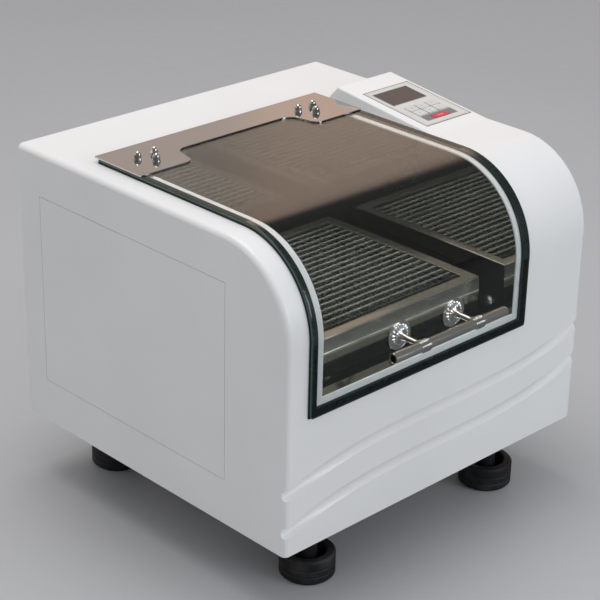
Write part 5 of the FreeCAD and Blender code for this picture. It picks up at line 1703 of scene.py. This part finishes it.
@dataclass
class Studio:
    """A plain pale floor, a soft overhead lamp and a weak pale surround.

    Args:
        floor: the floor's colour.
        floor_mirrored: the floor's colour in glossy surfaces.
        reach: the floor's radius.
        sunk: how far it lies under the feet.
        lamps: the lamps.
        surround: the world's colour for plain light.
        wall: what glossy surfaces see behind the object, up to the wall's top.
        wall_left: the same towards its left end.
        shade: what they see in front of it and overhead.
        wall_start: the directions' Y between which the wall starts.
        wall_top: the directions' Z between which it ends.
        wall_turn: the directions' X - Y between which its left end turns into the rest.
    """

    floor: Colour = (0.46, 0.46, 0.465)
    floor_mirrored: Colour = (0.10, 0.105, 0.105)
    reach: float = 9.0
    sunk: float = 0.0002
    lamps: tuple[SoftLight, ...] = (
        SoftLight("overhead", (-0.15, 0.55, 2.7), 2.0, 26.5, (1.0, 0.98, 0.965)),
        SoftLight("front_fill", (0.9, -2.8, 1.3), 1.6, 21.0, (0.84, 0.92, 1.0)),
    )
    surround: Colour = (0.68, 0.692, 0.72)
    wall: Colour = (0.72, 0.545, 0.435)
    wall_left: Colour = (0.53, 0.455, 0.40)
    shade: Colour = (0.125, 0.125, 0.12)
    wall_start: Pair = (-0.1, 0.35)
    wall_top: Pair = (0.50, 0.62)
    wall_turn: Pair = (-0.09, -0.02)

    def build(self) -> None:
        """Set up floor, lamps, world and colour handling."""
        self.lay_floor()
        for lamp in self.lamps:
            lamp.build()
        self.light_room()
        bpy.context.scene.view_settings.view_transform = "Standard"

    def lay_floor(self) -> None:
        """Lay the floor, a flat disc of rings."""
        tree = Tree("pale_floor")
        darker = tuple(0.97 * part for part in self.floor)
        pale = tree.clouded(1.5, 5.0, darker, self.floor)
        rays = tree.add("ShaderNodeLightPath")
        tree.set(Base_Color=tree.mix(rays.outputs["Is Glossy Ray"], pale, self.floor_mirrored))
        tree.set(Roughness=tree.between(tree.noise(scale=30.0), *MOTTLED, 0.5, 0.6))
        profile = np.stack([np.zeros(12), np.linspace(0, self.reach, 12)], axis=1)
        disc = lathe(profile, np.array([0.0, 0.0, -self.sunk]), Axis.Z, 64)
        mesh = closed_mesh("pale_floor", [disc])
        mesh.materials.append(tree.material)
        floor = add_object("pale_floor", mesh)

    def light_room(self) -> None:
        """Light the room: an even pale light, and a warm wall that only glossy surfaces see."""
        world = bpy.data.worlds.new("room")
        bpy.context.scene.world = world
        room = NodeSet(world)
        parts = room.add("ShaderNodeSeparateXYZ")
        room.put(parts.inputs[0], room.add("ShaderNodeTexCoord").outputs["Generated"])
        x, y, z = parts.outputs
        behind = room.between(y, *self.wall_start, smooth=True)
        below = room.between(z, *self.wall_top, 1.0, 0.0, smooth=True)
        turned = room.between(room.math("SUBTRACT", x, y), *self.wall_turn, smooth=True)
        wall = room.mix(turned, self.wall_left, self.wall)
        seen = room.mix(room.math("MULTIPLY", behind, below), self.shade, wall)
        rays = room.add("ShaderNodeLightPath")
        chosen = room.mix(rays.outputs["Is Glossy Ray"], self.surround, seen)
        back = room.nodes["Background"]
        room.put(back.inputs["Color"], chosen)
        room.put(back.inputs["Strength"], 1.0)


# All together


@dataclass
class Shaker:
    """The whole shaker with its studio.

    Args:
        frame: the loaded frame.
        slope: the control housing's sloping face.
    """

    frame: dict
    slope: Slope = field(default_factory=lambda: Slope(0.0235, 0.201, -0.0549, 0.528))

    def build(self) -> None:
        """Build every sub-assembly in order."""
        for part in (PhotoCamera(), Casing(self.frame), Lid(self.frame), Handle(),
                     Chamber(self.frame), SpringRack(self.frame), Drive(self.frame),
                     Keypad(self.frame, self.slope), Studio()):
            LOG.info("building %s", type(part).__name__)
            part.build()


def main() -> None:
    """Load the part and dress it."""
    logging.basicConfig(level=logging.INFO, format="%(message)s")
    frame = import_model()
    Shaker(frame).build()


if __name__ == "__main__":
    main()
